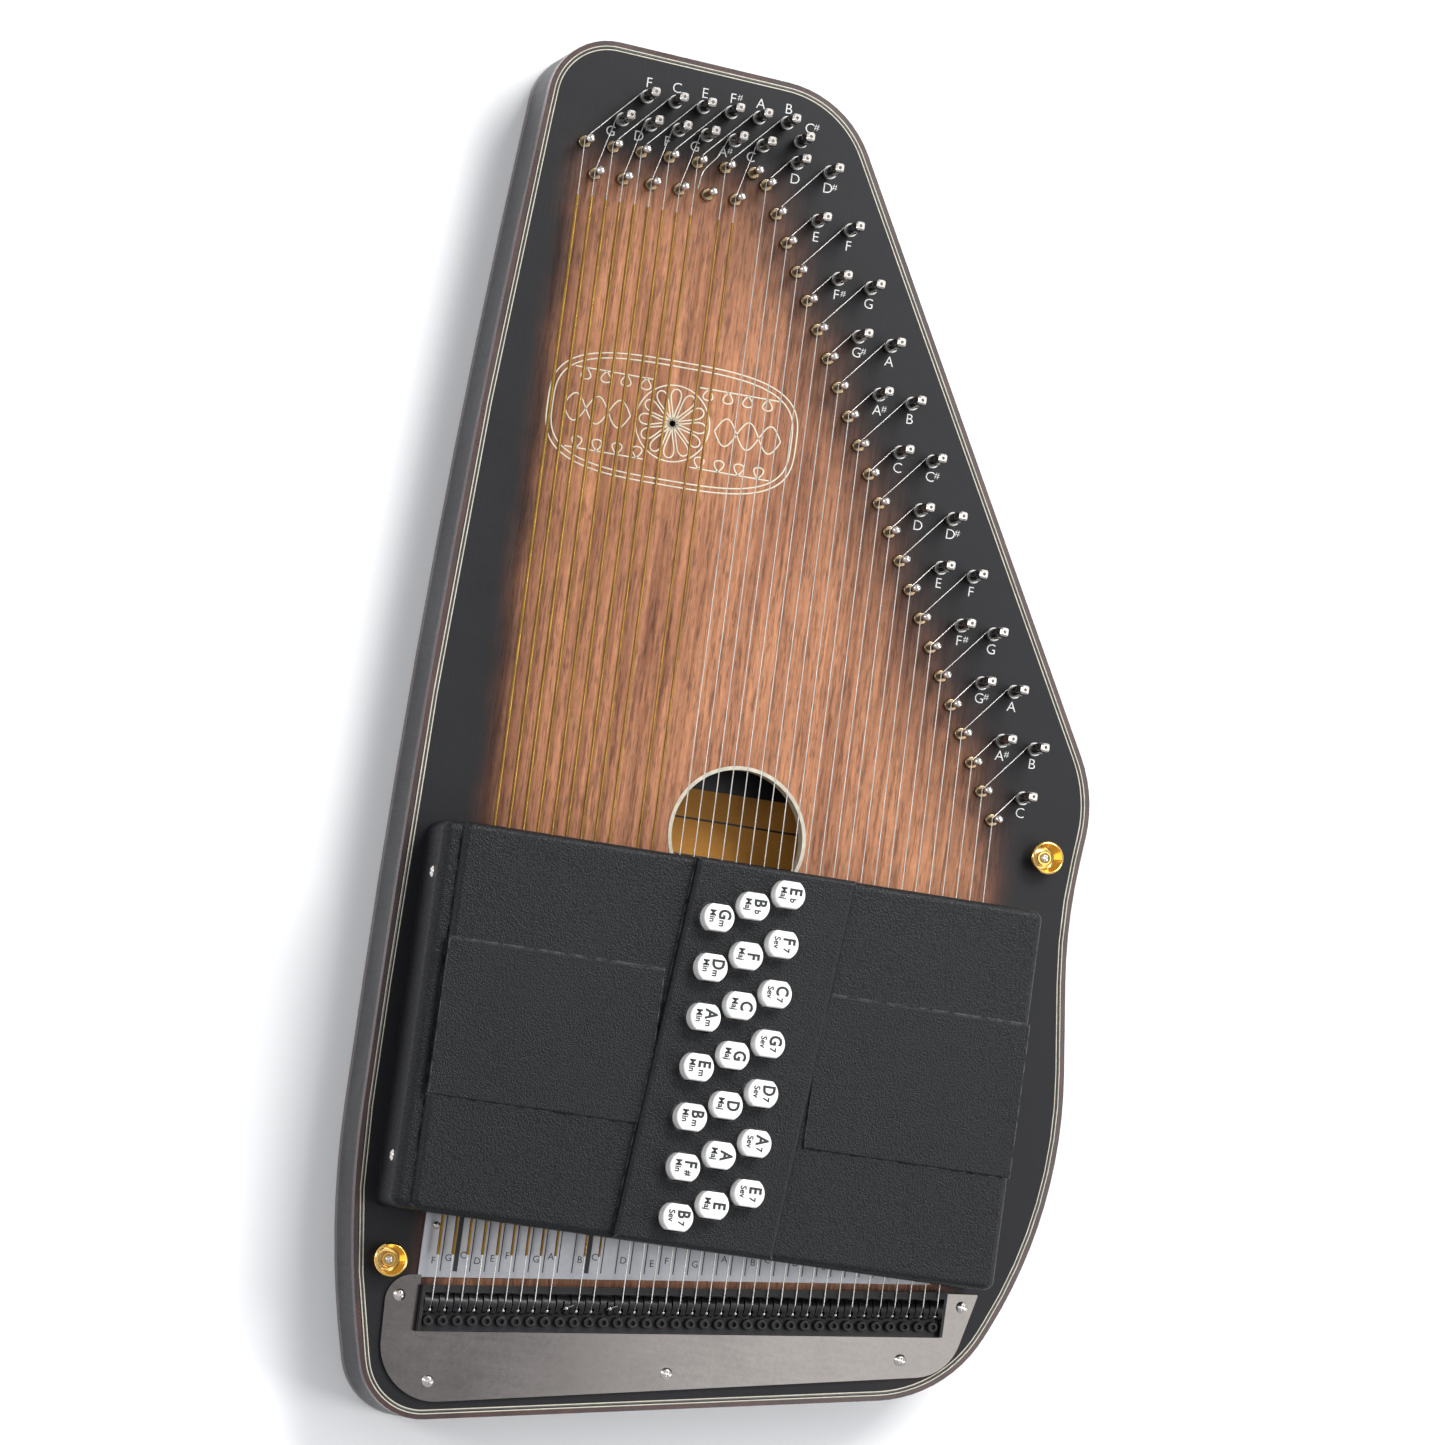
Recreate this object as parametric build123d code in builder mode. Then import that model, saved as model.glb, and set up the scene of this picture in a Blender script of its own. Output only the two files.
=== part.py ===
from build123d import *
import os
from math import atan2, cos, hypot, radians, sin, tan

os.makedirs("parts", exist_ok=True)

# A thirty-six string chorded zither lying on its back. Millimetres, +Z out of the face,
# +Y along the strings towards the tuning pins, +X towards the shortest string.
# The origin is under the middle of the body, on the surface that it lies on.

# ---------------------------------------------------------------- driving dimensions

# strings and their layout
string_count = 36
bass_string_count = 13          # strings on the two staggered rows at the head
string_pitch = 6.35
string_length = 509.9           # from the head row of guide pins to the first fine tuner
bass_row_gap = 13.0             # between the two staggered rows of guide pins
treble_row_start = 4.3          # how far the slanted row starts below the head row
treble_drop = 11.7              # step of the slanted row along the strings, per string
tail_angle = 6.85               # slant of the tuner row, degrees
tail_shift = 2.9                # sideways lean of the strings from pin to tuner
string_height = 7.6             # above the face
plain_wire_radius = 0.25
wound_string_numbers = [1, 2, 3, 4, 5, 6, 7, 8, 9, 11, 12]
missing_string_numbers = [10, 13]
heaviest_winding_radius = 0.72
lightest_winding_radius = 0.45
winding_start = 25.0            # bare wire between the head row of guide pins and the winding
winding_end = 19.5              # bare wire between the winding and the tuner

# body
body_thickness = 38.0
soundboard_thickness = 3.0
back_thickness = 3.0
binding_width = 2.0
binding_height = 5.0
head_line = 46.9                # head edge above the head row of guide pins
pin_block_width = 49.0          # outer edge of the slanted side from the slanted pin row
cavity_head = -42.0             # head end of the hollow, from the head row of guide pins
cavity_slant = 22.0             # slanted side of the hollow, inside the slanted pin row
cavity_left = -2.0              # left side of the hollow, from the first string's pin
tail_block_reach = 46.0         # tail end of the hollow, from the tuner row
soundhole_radius = 29.3
soundhole_ring_width = 1.6
soundhole_ring_depth = 6.0
soundhole_x_from_first = 109.8
soundhole_y_from_head = 286.6
brace_width = 12.0
brace_height = 6.0

# pins
guide_shank_radius = 1.3
guide_ring_radius = 2.85
guide_head_radius = 2.0
guide_ring_height = 1.8
guide_pin_height = 13.4
guide_pin_depth = 20.0
tuning_pin_radius = 2.4
tuning_pin_height = 21.5
tuning_pin_depth = 26.0
tuning_head_length = 6.5
tuning_head_side = 3.7
tuning_head_root = 4.2
tuning_head_round = 1.1
tuning_head_chamfer = 0.7
tuning_head_bore = 0.75
pin_hole_clearance = 0.04
coil_height = 4.2
coil_length = 2.2
coil_clearance = 0.05

# tail
housing_base = 2.5
housing_margin = 4.3            # beyond the first and last tuner
housing_front = 4.4             # tail side of the tuner row
housing_back = 15.2             # head side of the tuner row
lip_depth = 3.0
lip_height = 6.6
cam_length = 8.2
cam_start = 3.2
cam_gap = 0.55
tuner_screw_radius = 2.35
tuner_screw_bore = 1.25
tuner_screw_height = 5.4
plate_thickness = 1.5
plate_clearance = 0.25
note_plate_thickness = 1.0
note_plate_depth = 30.0
note_plate_gap = 3.2            # strip of bare wood between plate and tuner housing

# chord bars and their cover
bar_pitch = 7.1
bar_width = 5.6
bar_height = 12.0
bar_bottom = 15.6
bar_travel = 3.0
felt_thickness = 4.0
holder_wall = 2.8
holder_clearance = 0.15
holder_base = 5.0
holder_bar_bearing = 9.0        # how far a bar's end reaches into its holder
spring_radius = 2.1
spring_wire = 0.35
cover_wall = 2.5
cover_panel_height = 34.0
cover_step = 1.2                # rise of the middle panels
cover_step_round = 0.9          # rounding of their edges
panel_root = 3.0                # how deep they are rooted in the shell
cover_step_head = 49.3          # where they begin and end, from the cover's head edge
cover_step_tail = 116.0
button_panel_rise = 4.0
cover_end_height = 31.0
cover_end_width = 8.0
cover_margin_left = 26.0        # beyond the first string's pin
cover_margin_right = 18.9       # beyond the last string's pin
cover_margin_head = 10.6        # beyond the first bar's middle
cover_margin_tail = 12.2
gate_height = 12.0              # opening in the cover's long walls that the strings pass
button_radius = 6.7
button_flat = 5.7
button_clearance = 0.45
button_proud = 7.0
button_column_pitch = 14.8
button_stem = (9.0, 4.8)
peg_size = (5.0, 2.4, 4.0)
peg_clearance = 0.04
first_button_column = 124.3     # from the first string's pin
button_panel_left = 84.2        # at the cover's head edge, from the first string's pin
button_panel_width = 71.0
button_panel_slant = 0.0895
first_bar_y = 310.6             # from the head row of guide pins

# fasteners and strap buttons
screw_head_radius = 2.6
screw_head_height = 1.4
screw_shank_radius = 1.2
screw_length = 14.0
strap_rim_radius = 7.1
strap_height = 8.0
dish_floor = 3.2                # seat of the screw inside a strap button

# ---------------------------------------------------------------- music

NOTE_NAMES = ["c", "cs", "d", "ds", "e", "f", "fs", "g", "gs", "a", "as", "b"]
STRING_NOTES = (
    "f g c d e f fs g a as b c cs d ds e f fs g gs a as b c cs d ds e f fs g gs a as b c"
).split()
CHORD_BARS = (
    "e_flat_major b_flat_major g_minor f_seventh f_major d_minor c_seventh c_major a_minor "
    "g_seventh g_major e_minor d_seventh d_major b_minor a_seventh a_major f_sharp_minor "
    "e_seventh e_major b_seventh"
).split()
CHORD_STEPS = {"major": [0, 4, 7], "minor": [0, 3, 7], "seventh": [0, 4, 7, 10]}
bar_count = len(CHORD_BARS)


def chord_notes(chord):
    """Names of the notes that a chord bar leaves free to sound."""
    words = chord.split("_")
    root = NOTE_NAMES.index(words[0])
    if "flat" in words:
        root -= 1
    if "sharp" in words:
        root += 1
    return [NOTE_NAMES[(root + step) % 12] for step in CHORD_STEPS[words[-1]]]


# ---------------------------------------------------------------- layout

last_string = (string_count - 1) * string_pitch
tail_slope = tan(radians(tail_angle))
row_length = hypot(string_pitch, treble_drop)
row_along = Vector(string_pitch / row_length, -treble_drop / row_length)
row_out = Vector(treble_drop / row_length, string_pitch / row_length)


def guide_pin_at(index):
    """Guide pin of a string, measured from the first guide pin."""
    if index >= bass_string_count:
        drop = treble_row_start + treble_drop * (index - bass_string_count)
    elif index % 2:
        drop = bass_row_gap
    else:
        drop = 0.0
    return Vector(index * string_pitch, -drop)


def tuner_at(index):
    """Fine tuner of a string, measured from the first guide pin."""
    across = index * string_pitch
    return Vector(tail_shift + across, -string_length + across * tail_slope)


first_treble_pin = guide_pin_at(bass_string_count)
last_pin = guide_pin_at(string_count - 1)
first_tuner = tuner_at(0)
last_tuner = tuner_at(string_count - 1)

# the outline follows the strings: each corner keeps its distance from a pin or a tuner
slant_foot = last_pin + row_out * pin_block_width + row_along * 6.6
head_right = first_treble_pin + row_out * pin_block_width
head_right = head_right + row_along * ((head_right.Y - head_line + 5.9) / row_along.Y * -1)
outline_corners = [
    first_tuner + Vector(-18.6, -45.6),
    last_tuner + Vector(12.0, -29.3),
    last_tuner + Vector(53.2, 57.6),
    last_pin + Vector(40.5, -38.8),
    slant_foot,
    head_right,
    Vector(-16.3, head_line),
    Vector(-35.3, -181.4),
    first_tuner + Vector(-39.8, 33.2),
]
outline_radii = [27, 60, 205, 240, 60, 48, 27, 4900, 400]


def outline_sketch(inset, origin):
    """The body's outline, drawn inwards by inset, with the first guide pin at origin."""
    with BuildSketch() as sketch:
        with BuildLine():
            corners = [origin + corner for corner in outline_corners]
            FilletPolyline(*corners, radius=outline_radii, close=True)
        make_face()
        if inset:
            offset(amount=-inset, kind=Kind.INTERSECTION)
    return sketch.sketch


measured_outline = outline_sketch(0, Vector(0, 0)).bounding_box()
datum = -measured_outline.center()
datum = Vector(datum.X, datum.Y)
face_z = body_thickness


def tail_strip(left, right, low, high):
    """Corners of a strip that follows the tuner row, low and high measured along the strings."""
    corners = []
    for x, rise in [(left, low), (right, low), (right, high), (left, high)]:
        row_y = first_tuner.Y + (x - first_tuner.X) * tail_slope
        corners.append(datum + Vector(x, row_y + rise))
    return corners


outline = outline_sketch(0, datum)
inner_outline = outline_sketch(binding_width, datum)
soundhole = datum + Vector(soundhole_x_from_first, -soundhole_y_from_head)
guide_pins_xy = [datum + guide_pin_at(index) for index in range(string_count)]
tuners_xy = [datum + tuner_at(index) for index in range(string_count)]

BASS_UPPER = Vector(23.4, 23.4)
BASS_LOWER = Vector(7.7, 24.6)
CHANGEOVER = Vector(18.0, 16.5)
TREBLE_INNER = Vector(11.3, 11.2)
TREBLE_OUTER = Vector(20.1, 21.5)


def tuning_pin_at(index):
    """Tuning pins stand outside their guide pins, in two staggered rows."""
    if index < bass_string_count - 1:
        step = BASS_LOWER if index % 2 else BASS_UPPER
    elif index == bass_string_count - 1:
        step = CHANGEOVER
    else:
        step = TREBLE_INNER if index % 2 else TREBLE_OUTER
    return guide_pins_xy[index] + step


tuning_pins_xy = [tuning_pin_at(index) for index in range(string_count)]

# chord bars
bars_y = [datum.Y - first_bar_y - bar_pitch * index for index in range(bar_count)]
cover_left = datum.X - cover_margin_left
cover_right = datum.X + last_string + cover_margin_right
cover_head = bars_y[0] + cover_margin_head
cover_tail = bars_y[-1] - cover_margin_tail
cover_middle_y = (cover_head + cover_tail) / 2
cover_length = cover_head - cover_tail
main_left = cover_left + cover_end_width
inside_left = cover_left + cover_wall
inside_right = cover_right - cover_wall
bar_left = inside_left + 0.3 + holder_wall + 0.4
bar_right = inside_right - 0.3 - holder_wall - 0.4
holder_depth = holder_wall + 0.4 + holder_bar_bearing
columns_x = [datum.X + first_button_column - button_column_pitch * column for column in range(3)]

# fasteners: (point, direction that the head faces)
plate_screws = [
    datum + first_tuner + Vector(-13.0, 9.2),
    datum + first_tuner + Vector(4.4, -25.2),
    datum + first_tuner + Vector(107.8, -8.6),
    datum + last_tuner + Vector(-11.6, -16.0),
    datum + last_tuner + Vector(13.0, 10.2),
]
note_plate_screws = [datum + first_tuner + Vector(-1.0, 40.4)]
strap_buttons_xy = [
    datum + first_tuner + Vector(-20.0, 23.3),
    datum + last_pin + Vector(25.8, -12.9),
]
holder_screws = [
    Vector(x, y)
    for x in (inside_left + holder_wall / 2 + 0.3, inside_right - holder_wall / 2 - 0.3)
    for y in (bars_y[5] + bar_pitch / 2, bars_y[15] + bar_pitch / 2)
]
cover_screws_y = [cover_head - 22.6, cover_tail + 21.6]
cover_screw_z = face_z + 22.0


def write(shape, name):
    """Labels one node and writes it."""
    shape.label = name
    export_step(shape, f"parts/{name}.step")


# ---------------------------------------------------------------- body

# the hollow inside the frame
cavity_right = last_string - 1.0
slant_start = first_treble_pin - row_out * cavity_slant
slant_run = row_along * ((cavity_head - slant_start.Y) / row_along.Y)
slant_corner = slant_start + slant_run
slant_end = slant_start + row_along * ((cavity_right - slant_start.X) / row_along.X)
cavity_corners = [
    Vector(cavity_left, cavity_head),
    Vector(slant_corner.X, cavity_head),
    Vector(cavity_right, slant_end.Y),
    Vector(cavity_right, last_tuner.Y + tail_block_reach),
    Vector(cavity_left, first_tuner.Y + tail_block_reach),
]

with BuildPart() as frame_ring:
    with BuildSketch(Plane.XY.offset(back_thickness)):
        add(inner_outline)
    extrude(amount=body_thickness - back_thickness - soundboard_thickness)
    with BuildSketch(Plane.XY.offset(binding_height)):
        add(outline)
    extrude(amount=body_thickness - 2 * binding_height)
    with BuildSketch(Plane.XY.offset(back_thickness)):
        with BuildLine():
            Polyline(*[datum + corner for corner in cavity_corners], close=True)
        make_face()
    extrude(amount=body_thickness, mode=Mode.SUBTRACT)
    with Locations([(p.X, p.Y, face_z - tuning_pin_depth) for p in tuning_pins_xy]):
        Cylinder(
            tuning_pin_radius + pin_hole_clearance,
            tuning_pin_depth,
            align=(Align.CENTER, Align.CENTER, Align.MIN),
            mode=Mode.SUBTRACT,
        )
    with Locations([(p.X, p.Y, face_z - guide_pin_depth) for p in guide_pins_xy]):
        Cylinder(
            guide_shank_radius + pin_hole_clearance,
            guide_pin_depth,
            align=(Align.CENTER, Align.CENTER, Align.MIN),
            mode=Mode.SUBTRACT,
        )
    face_screws = plate_screws + note_plate_screws + strap_buttons_xy + holder_screws
    with Locations([(p.X, p.Y, face_z - screw_length) for p in face_screws]):
        Cylinder(
            screw_shank_radius + pin_hole_clearance,
            screw_length,
            align=(Align.CENTER, Align.CENTER, Align.MIN),
            mode=Mode.SUBTRACT,
        )

# the frame is four pieces of wood: pin block, tail block and the two rails between them
block_line_head = datum.Y + cavity_head
block_line_right = datum.Y + slant_end.Y
block_line_tail_left = datum.Y + first_tuner.Y + tail_block_reach
block_line_tail_right = datum.Y + last_tuner.Y + tail_block_reach
far = 2 * (last_string + string_length)
frame_regions = {
    "pin_block": [
        (-far, block_line_head),
        (datum.X + cavity_left, block_line_head),
        (datum.X + cavity_right, block_line_right),
        (far, block_line_right),
        (far, far),
        (-far, far),
    ],
    "left_rail": [
        (-far, block_line_head),
        (datum.X + cavity_left, block_line_head),
        (datum.X + cavity_left, block_line_tail_left),
        (-far, block_line_tail_left),
    ],
    "right_rail": [
        (datum.X + cavity_right, block_line_right),
        (far, block_line_right),
        (far, block_line_tail_right),
        (datum.X + cavity_right, block_line_tail_right),
    ],
    "tail_block": [
        (-far, block_line_tail_left),
        (datum.X + cavity_left, block_line_tail_left),
        (datum.X + cavity_right, block_line_tail_right),
        (far, block_line_tail_right),
        (far, -far),
        (-far, -far),
    ],
}
frame_pieces = []
for region_name, region in frame_regions.items():
    with BuildPart() as frame_piece:
        add(frame_ring.part)
        with BuildSketch():
            with BuildLine():
                Polyline(*region, close=True)
            make_face()
        extrude(amount=body_thickness, mode=Mode.INTERSECT)
    frame_piece.part.label = region_name
    frame_pieces.append(frame_piece.part)
write(Compound(children=frame_pieces), "body_frame")

with BuildPart() as soundboard:
    with BuildSketch(Plane.XY.offset(face_z - soundboard_thickness)):
        add(inner_outline)
        with Locations((soundhole.X, soundhole.Y)):
            Circle(soundhole_radius + soundhole_ring_width, mode=Mode.SUBTRACT)
        with Locations([(p.X, p.Y) for p in tuning_pins_xy]):
            Circle(tuning_pin_radius + pin_hole_clearance, mode=Mode.SUBTRACT)
        with Locations([(p.X, p.Y) for p in guide_pins_xy]):
            Circle(guide_shank_radius + pin_hole_clearance, mode=Mode.SUBTRACT)
        with Locations([(p.X, p.Y) for p in face_screws]):
            Circle(screw_shank_radius + pin_hole_clearance, mode=Mode.SUBTRACT)
    extrude(amount=soundboard_thickness)
write(soundboard.part, "soundboard")

with BuildPart() as back_panel:
    with BuildSketch():
        add(inner_outline)
    extrude(amount=back_thickness)
write(back_panel.part, "back_panel")

with BuildPart() as edge_binding:
    for low in (0, body_thickness - binding_height):
        with BuildSketch(Plane.XY.offset(low)):
            add(outline)
            add(inner_outline, mode=Mode.SUBTRACT)
        extrude(amount=binding_height)
write(edge_binding.part, "edge_binding")

with BuildPart() as soundhole_ring:
    with BuildSketch(Plane.XY.offset(face_z - soundhole_ring_depth)):
        with Locations((soundhole.X, soundhole.Y)):
            Circle(soundhole_radius + soundhole_ring_width)
            Circle(soundhole_radius, mode=Mode.SUBTRACT)
    extrude(amount=soundhole_ring_depth + 0.3)
write(soundhole_ring.part, "soundhole_ring")

# braces run from rail to rail: three under the soundboard, two on the back
face_brace_y = [soundhole.Y + 39.0, soundhole.Y - 62.0, soundhole.Y + 150.0]
back_brace_y = [soundhole.Y + 60.0, soundhole.Y - 70.0]


def slant_x(y):
    """Right-hand side of the hollow at a given y."""
    on_slant = slant_start + row_along * ((y - datum.Y - slant_start.Y) / row_along.Y)
    return datum.X + min(on_slant.X, cavity_right)


with BuildPart() as internal_braces:
    face_brace_z = face_z - soundboard_thickness - brace_height
    for bottom, places in ((face_brace_z, face_brace_y), (back_thickness, back_brace_y)):
        for brace_y in places:
            low_y = brace_y - brace_width / 2
            high_y = brace_y + brace_width / 2
            with BuildSketch(Plane.XY.offset(bottom)):
                with BuildLine():
                    Polyline(
                        (datum.X + cavity_left, low_y),
                        (slant_x(low_y), low_y),
                        (slant_x(high_y), high_y),
                        (datum.X + cavity_left, high_y),
                        close=True,
                    )
                make_face()
            extrude(amount=brace_height)
write(internal_braces.part, "internal_braces")

# ---------------------------------------------------------------- pins and strings

with BuildPart() as guide_pin:
    with BuildSketch(Plane.XZ):
        with BuildLine():
            ring_top = guide_ring_height
            ball_middle = guide_pin_height - guide_head_radius
            neck = ball_middle - (guide_head_radius**2 - guide_shank_radius**2) ** 0.5
            Polyline(
                (0, guide_pin_height),
                (0, -guide_pin_depth),
                (guide_shank_radius, -guide_pin_depth),
                (guide_shank_radius, 0),
                (guide_ring_radius, 0),
                (guide_ring_radius, ring_top - 0.6),
            )
            ThreePointArc(
                (guide_ring_radius, ring_top - 0.6),
                (guide_ring_radius - 0.25, ring_top - 0.15),
                (guide_ring_radius - 0.8, ring_top),
            )
            Polyline(
                (guide_ring_radius - 0.8, ring_top),
                (guide_shank_radius, ring_top),
                (guide_shank_radius, neck),
            )
            ThreePointArc(
                (guide_shank_radius, neck),
                (guide_head_radius, ball_middle),
                (0, guide_pin_height),
            )
        make_face()
    revolve(axis=Axis.Z)

with BuildPart() as guide_pins:
    with Locations([(p.X, p.Y, face_z) for p in guide_pins_xy]):
        add(guide_pin.part)
write(guide_pins.part, "guide_pins")

with BuildPart() as tuning_pin:
    with Locations((0, 0, -tuning_pin_depth)):
        Cylinder(
            tuning_pin_radius,
            tuning_pin_depth + tuning_pin_height - tuning_head_length,
            align=(Align.CENTER, Align.CENTER, Align.MIN),
        )
    with BuildSketch(Plane.XY.offset(tuning_pin_height - tuning_head_length)):
        RectangleRounded(tuning_head_root, tuning_head_root, tuning_head_round)
    with BuildSketch(Plane.XY.offset(tuning_pin_height)):
        RectangleRounded(tuning_head_side, tuning_head_side, tuning_head_round)
    loft()
    chamfer(tuning_pin.faces().sort_by(Axis.Z)[-1].edges(), tuning_head_chamfer)
    with Locations((0, 0, tuning_pin_height)):
        Hole(tuning_head_bore, depth=2.0)

with BuildPart() as tuning_pins:
    with Locations([(p.X, p.Y, face_z) for p in tuning_pins_xy]):
        add(tuning_pin.part)
write(tuning_pins.part, "tuning_pins")

string_z = face_z + string_height
coil_z = face_z + coil_height
string_side = guide_shank_radius + plain_wire_radius + 0.05
cam_top_y = cam_start + cam_length - 2.6
cam_end_y = cam_start + 1.6


def string_path(index):
    """Corners of one string: tuner, cam, guide pin, tuning pin coil."""
    pin = guide_pins_xy[index]
    peg = tuning_pins_xy[index]
    tuner = tuners_xy[index]
    peg_angle = atan2(peg.Y - pin.Y, peg.X - pin.X)
    coil_side = tuning_pin_radius + plain_wire_radius + coil_clearance
    side_x = -sin(peg_angle) * coil_side
    side_y = cos(peg_angle) * coil_side
    return [
        Vector(tuner.X, tuner.Y + cam_end_y, face_z + 5.3),
        Vector(tuner.X, tuner.Y + cam_top_y, string_z),
        Vector(pin.X - string_side, pin.Y + 0.5, string_z),
        Vector(peg.X + side_x, peg.Y + side_y, coil_z + coil_length / 2),
    ]


def wrap_coil(peg):
    """The turns of wire on a tuning pin, as one sleeve."""
    inner = tuning_pin_radius + coil_clearance
    with BuildPart() as sleeve:
        with BuildSketch(Plane.XY.offset(coil_z)):
            with Locations((peg.X, peg.Y)):
                Circle(inner + 2 * plain_wire_radius)
                Circle(inner, mode=Mode.SUBTRACT)
        extrude(amount=coil_length)
    return sleeve.part


strings = []
for index in range(string_count):
    if index + 1 in missing_string_numbers:
        continue
    tail_end, cam_top, pin_side, coil_end = string_path(index)
    peg = tuning_pins_xy[index]
    run = pin_side - cam_top
    with BuildPart() as one_string:
        with BuildLine() as wire_line:
            Polyline(tail_end, cam_top, pin_side, coil_end)
        with BuildSketch(Plane(tail_end, z_dir=cam_top - tail_end)):
            Circle(plain_wire_radius)
        sweep(path=wire_line.wires()[0], transition=Transition.RIGHT)
        with Locations(tail_end):
            Sphere(0.9)
        if index + 1 in wound_string_numbers:
            share = index / (bass_string_count - 1)
            winding = heaviest_winding_radius * (1 - share) + lightest_winding_radius * share
            start = cam_top + run.normalized() * winding_end
            bare_wire = winding_start - (bass_row_gap if index % 2 else 0)
            with BuildSketch(Plane(start, z_dir=run)):
                Circle(winding)
            extrude(amount=run.length - winding_end - bare_wire)
        add(wrap_coil(peg))
    strings.append(one_string.part)

# the two broken strings: a bent end left on the tuning pin, and an end at the tuner
for number in missing_string_numbers:
    tuner = tuners_xy[number - 1]
    with BuildPart() as tuner_stub:
        with BuildLine() as stub_line:
            FilletPolyline(
                Vector(tuner.X, tuner.Y + cam_end_y, face_z + 5.3),
                Vector(tuner.X + 0.4, tuner.Y + cam_end_y + 1.2, face_z + 8.2),
                Vector(tuner.X + 4.2, tuner.Y + cam_end_y + 3.2, face_z + 8.6),
                radius=1.2,
            )
        with BuildSketch(Plane(stub_line.edges()[0] @ 0, z_dir=stub_line.edges()[0] % 0)):
            Circle(plain_wire_radius)
        sweep(path=stub_line.wires()[0])
        with Locations(stub_line.edges()[0] @ 0):
            Sphere(0.9)
    strings.append(tuner_stub.part)

broken_peg = tuning_pins_xy[missing_string_numbers[0] - 1]
with BuildPart() as broken_end:
    with BuildLine() as curl_line:
        FilletPolyline(
            Vector(broken_peg.X - 2.6, broken_peg.Y + 0.9, coil_z + coil_length / 2),
            Vector(broken_peg.X - 7.0, broken_peg.Y - 8.5, string_z + 1.6),
            Vector(broken_peg.X - 13.0, broken_peg.Y - 16.0, string_z + 0.6),
            Vector(broken_peg.X - 15.0, broken_peg.Y - 25.0, string_z + 4.0),
            radius=[8, 9],
        )
    with BuildSketch(Plane(curl_line.edges()[0] @ 0, z_dir=curl_line.edges()[0] % 0)):
        Circle(plain_wire_radius)
    sweep(path=curl_line.wires()[0])
    add(wrap_coil(broken_peg))
strings.append(broken_end.part)
write(Compound(children=strings), "strings")

# ---------------------------------------------------------------- tail

housing_left = first_tuner.X - housing_margin
housing_right = last_tuner.X + housing_margin

with BuildPart() as fine_tuner_housing:
    with BuildSketch(Plane.XY.offset(face_z)):
        with BuildLine():
            Polyline(*tail_strip(housing_left, housing_right, -housing_front, housing_back), close=True)
        make_face()
    extrude(amount=housing_base)
    with BuildSketch(Plane.XY.offset(face_z + housing_base)):
        with BuildLine():
            lip = tail_strip(housing_left, housing_right, housing_back - lip_depth, housing_back)
            Polyline(*lip, close=True)
        make_face()
        for left, right in (
            (housing_left, housing_left + 1.2),
            (housing_right - 1.2, housing_right),
        ):
            with BuildLine():
                Polyline(*tail_strip(left, right, -housing_front, housing_back), close=True)
            make_face()
    extrude(amount=lip_height - housing_base)
write(fine_tuner_housing.part, "fine_tuner_housing")

cam_width = string_pitch - cam_gap
with BuildPart() as tuner_cam:
    with BuildSketch(Plane.YZ):
        with BuildLine():
            Polyline(
                (cam_start, housing_base + 2.0),
                (cam_start, housing_base),
                (cam_start + cam_length, housing_base),
                (cam_start + cam_length, housing_base + 2.6),
            )
            ThreePointArc(
                (cam_start + cam_length, housing_base + 2.6),
                (cam_start + cam_length - 2.4, string_height - plain_wire_radius - 0.15),
                (cam_start, housing_base + 2.0),
            )
        make_face()
    extrude(amount=cam_width / 2, both=True)
    with Locations((0, cam_start + 1.4, housing_base + 1.2)):
        Box(2.2, 3.2, 4.6, align=(Align.CENTER, Align.CENTER, Align.MIN), mode=Mode.SUBTRACT)
    with Locations((0, cam_start + 1.4, housing_base + 3.0)):
        Box(0.9, 9.0, 4.6, align=(Align.CENTER, Align.CENTER, Align.MIN), mode=Mode.SUBTRACT)

with BuildPart() as tuner_screw:
    with Locations((0, 0, housing_base)):
        Cylinder(
            tuner_screw_radius,
            tuner_screw_height - housing_base,
            align=(Align.CENTER, Align.CENTER, Align.MIN),
        )
    fillet(tuner_screw.edges().filter_by(GeomType.CIRCLE).sort_by(Axis.Z)[-1], 0.5)
    with BuildSketch(Plane.XY.offset(tuner_screw_height)):
        RegularPolygon(tuner_screw_bore, 6)
    extrude(amount=-2.0, mode=Mode.SUBTRACT)

with BuildPart() as fine_tuners:
    with Locations([(p.X, p.Y, face_z) for p in tuners_xy]):
        add(tuner_cam.part)
        add(tuner_screw.part)
write(fine_tuners.part, "fine_tuners")

cutout_left = housing_left - plate_clearance
cutout_right = housing_right + plate_clearance
with BuildPart() as tailpiece_plate:
    with BuildSketch(Plane.XY.offset(face_z)):
        with BuildLine():
            plate_corners = [
                datum + first_tuner + Vector(-19.3, 17.4),
                datum + first_tuner + Vector(-17.2, -38.2),
                datum + last_tuner + Vector(10.5, -20.0),
                datum + last_tuner + Vector(19.6, 16.5),
            ]
            FilletPolyline(*plate_corners, radius=[12, 24, 22, 0.5], close=True)
        make_face()
        with BuildLine():
            cut = tail_strip(cutout_left, cutout_right, -housing_front - plate_clearance, 40)
            Polyline(*cut, close=True)
        make_face(mode=Mode.SUBTRACT)
        with Locations([(p.X, p.Y) for p in plate_screws]):
            Circle(screw_shank_radius + pin_hole_clearance, mode=Mode.SUBTRACT)
    extrude(amount=plate_thickness)
write(tailpiece_plate.part, "tailpiece_plate")

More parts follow.
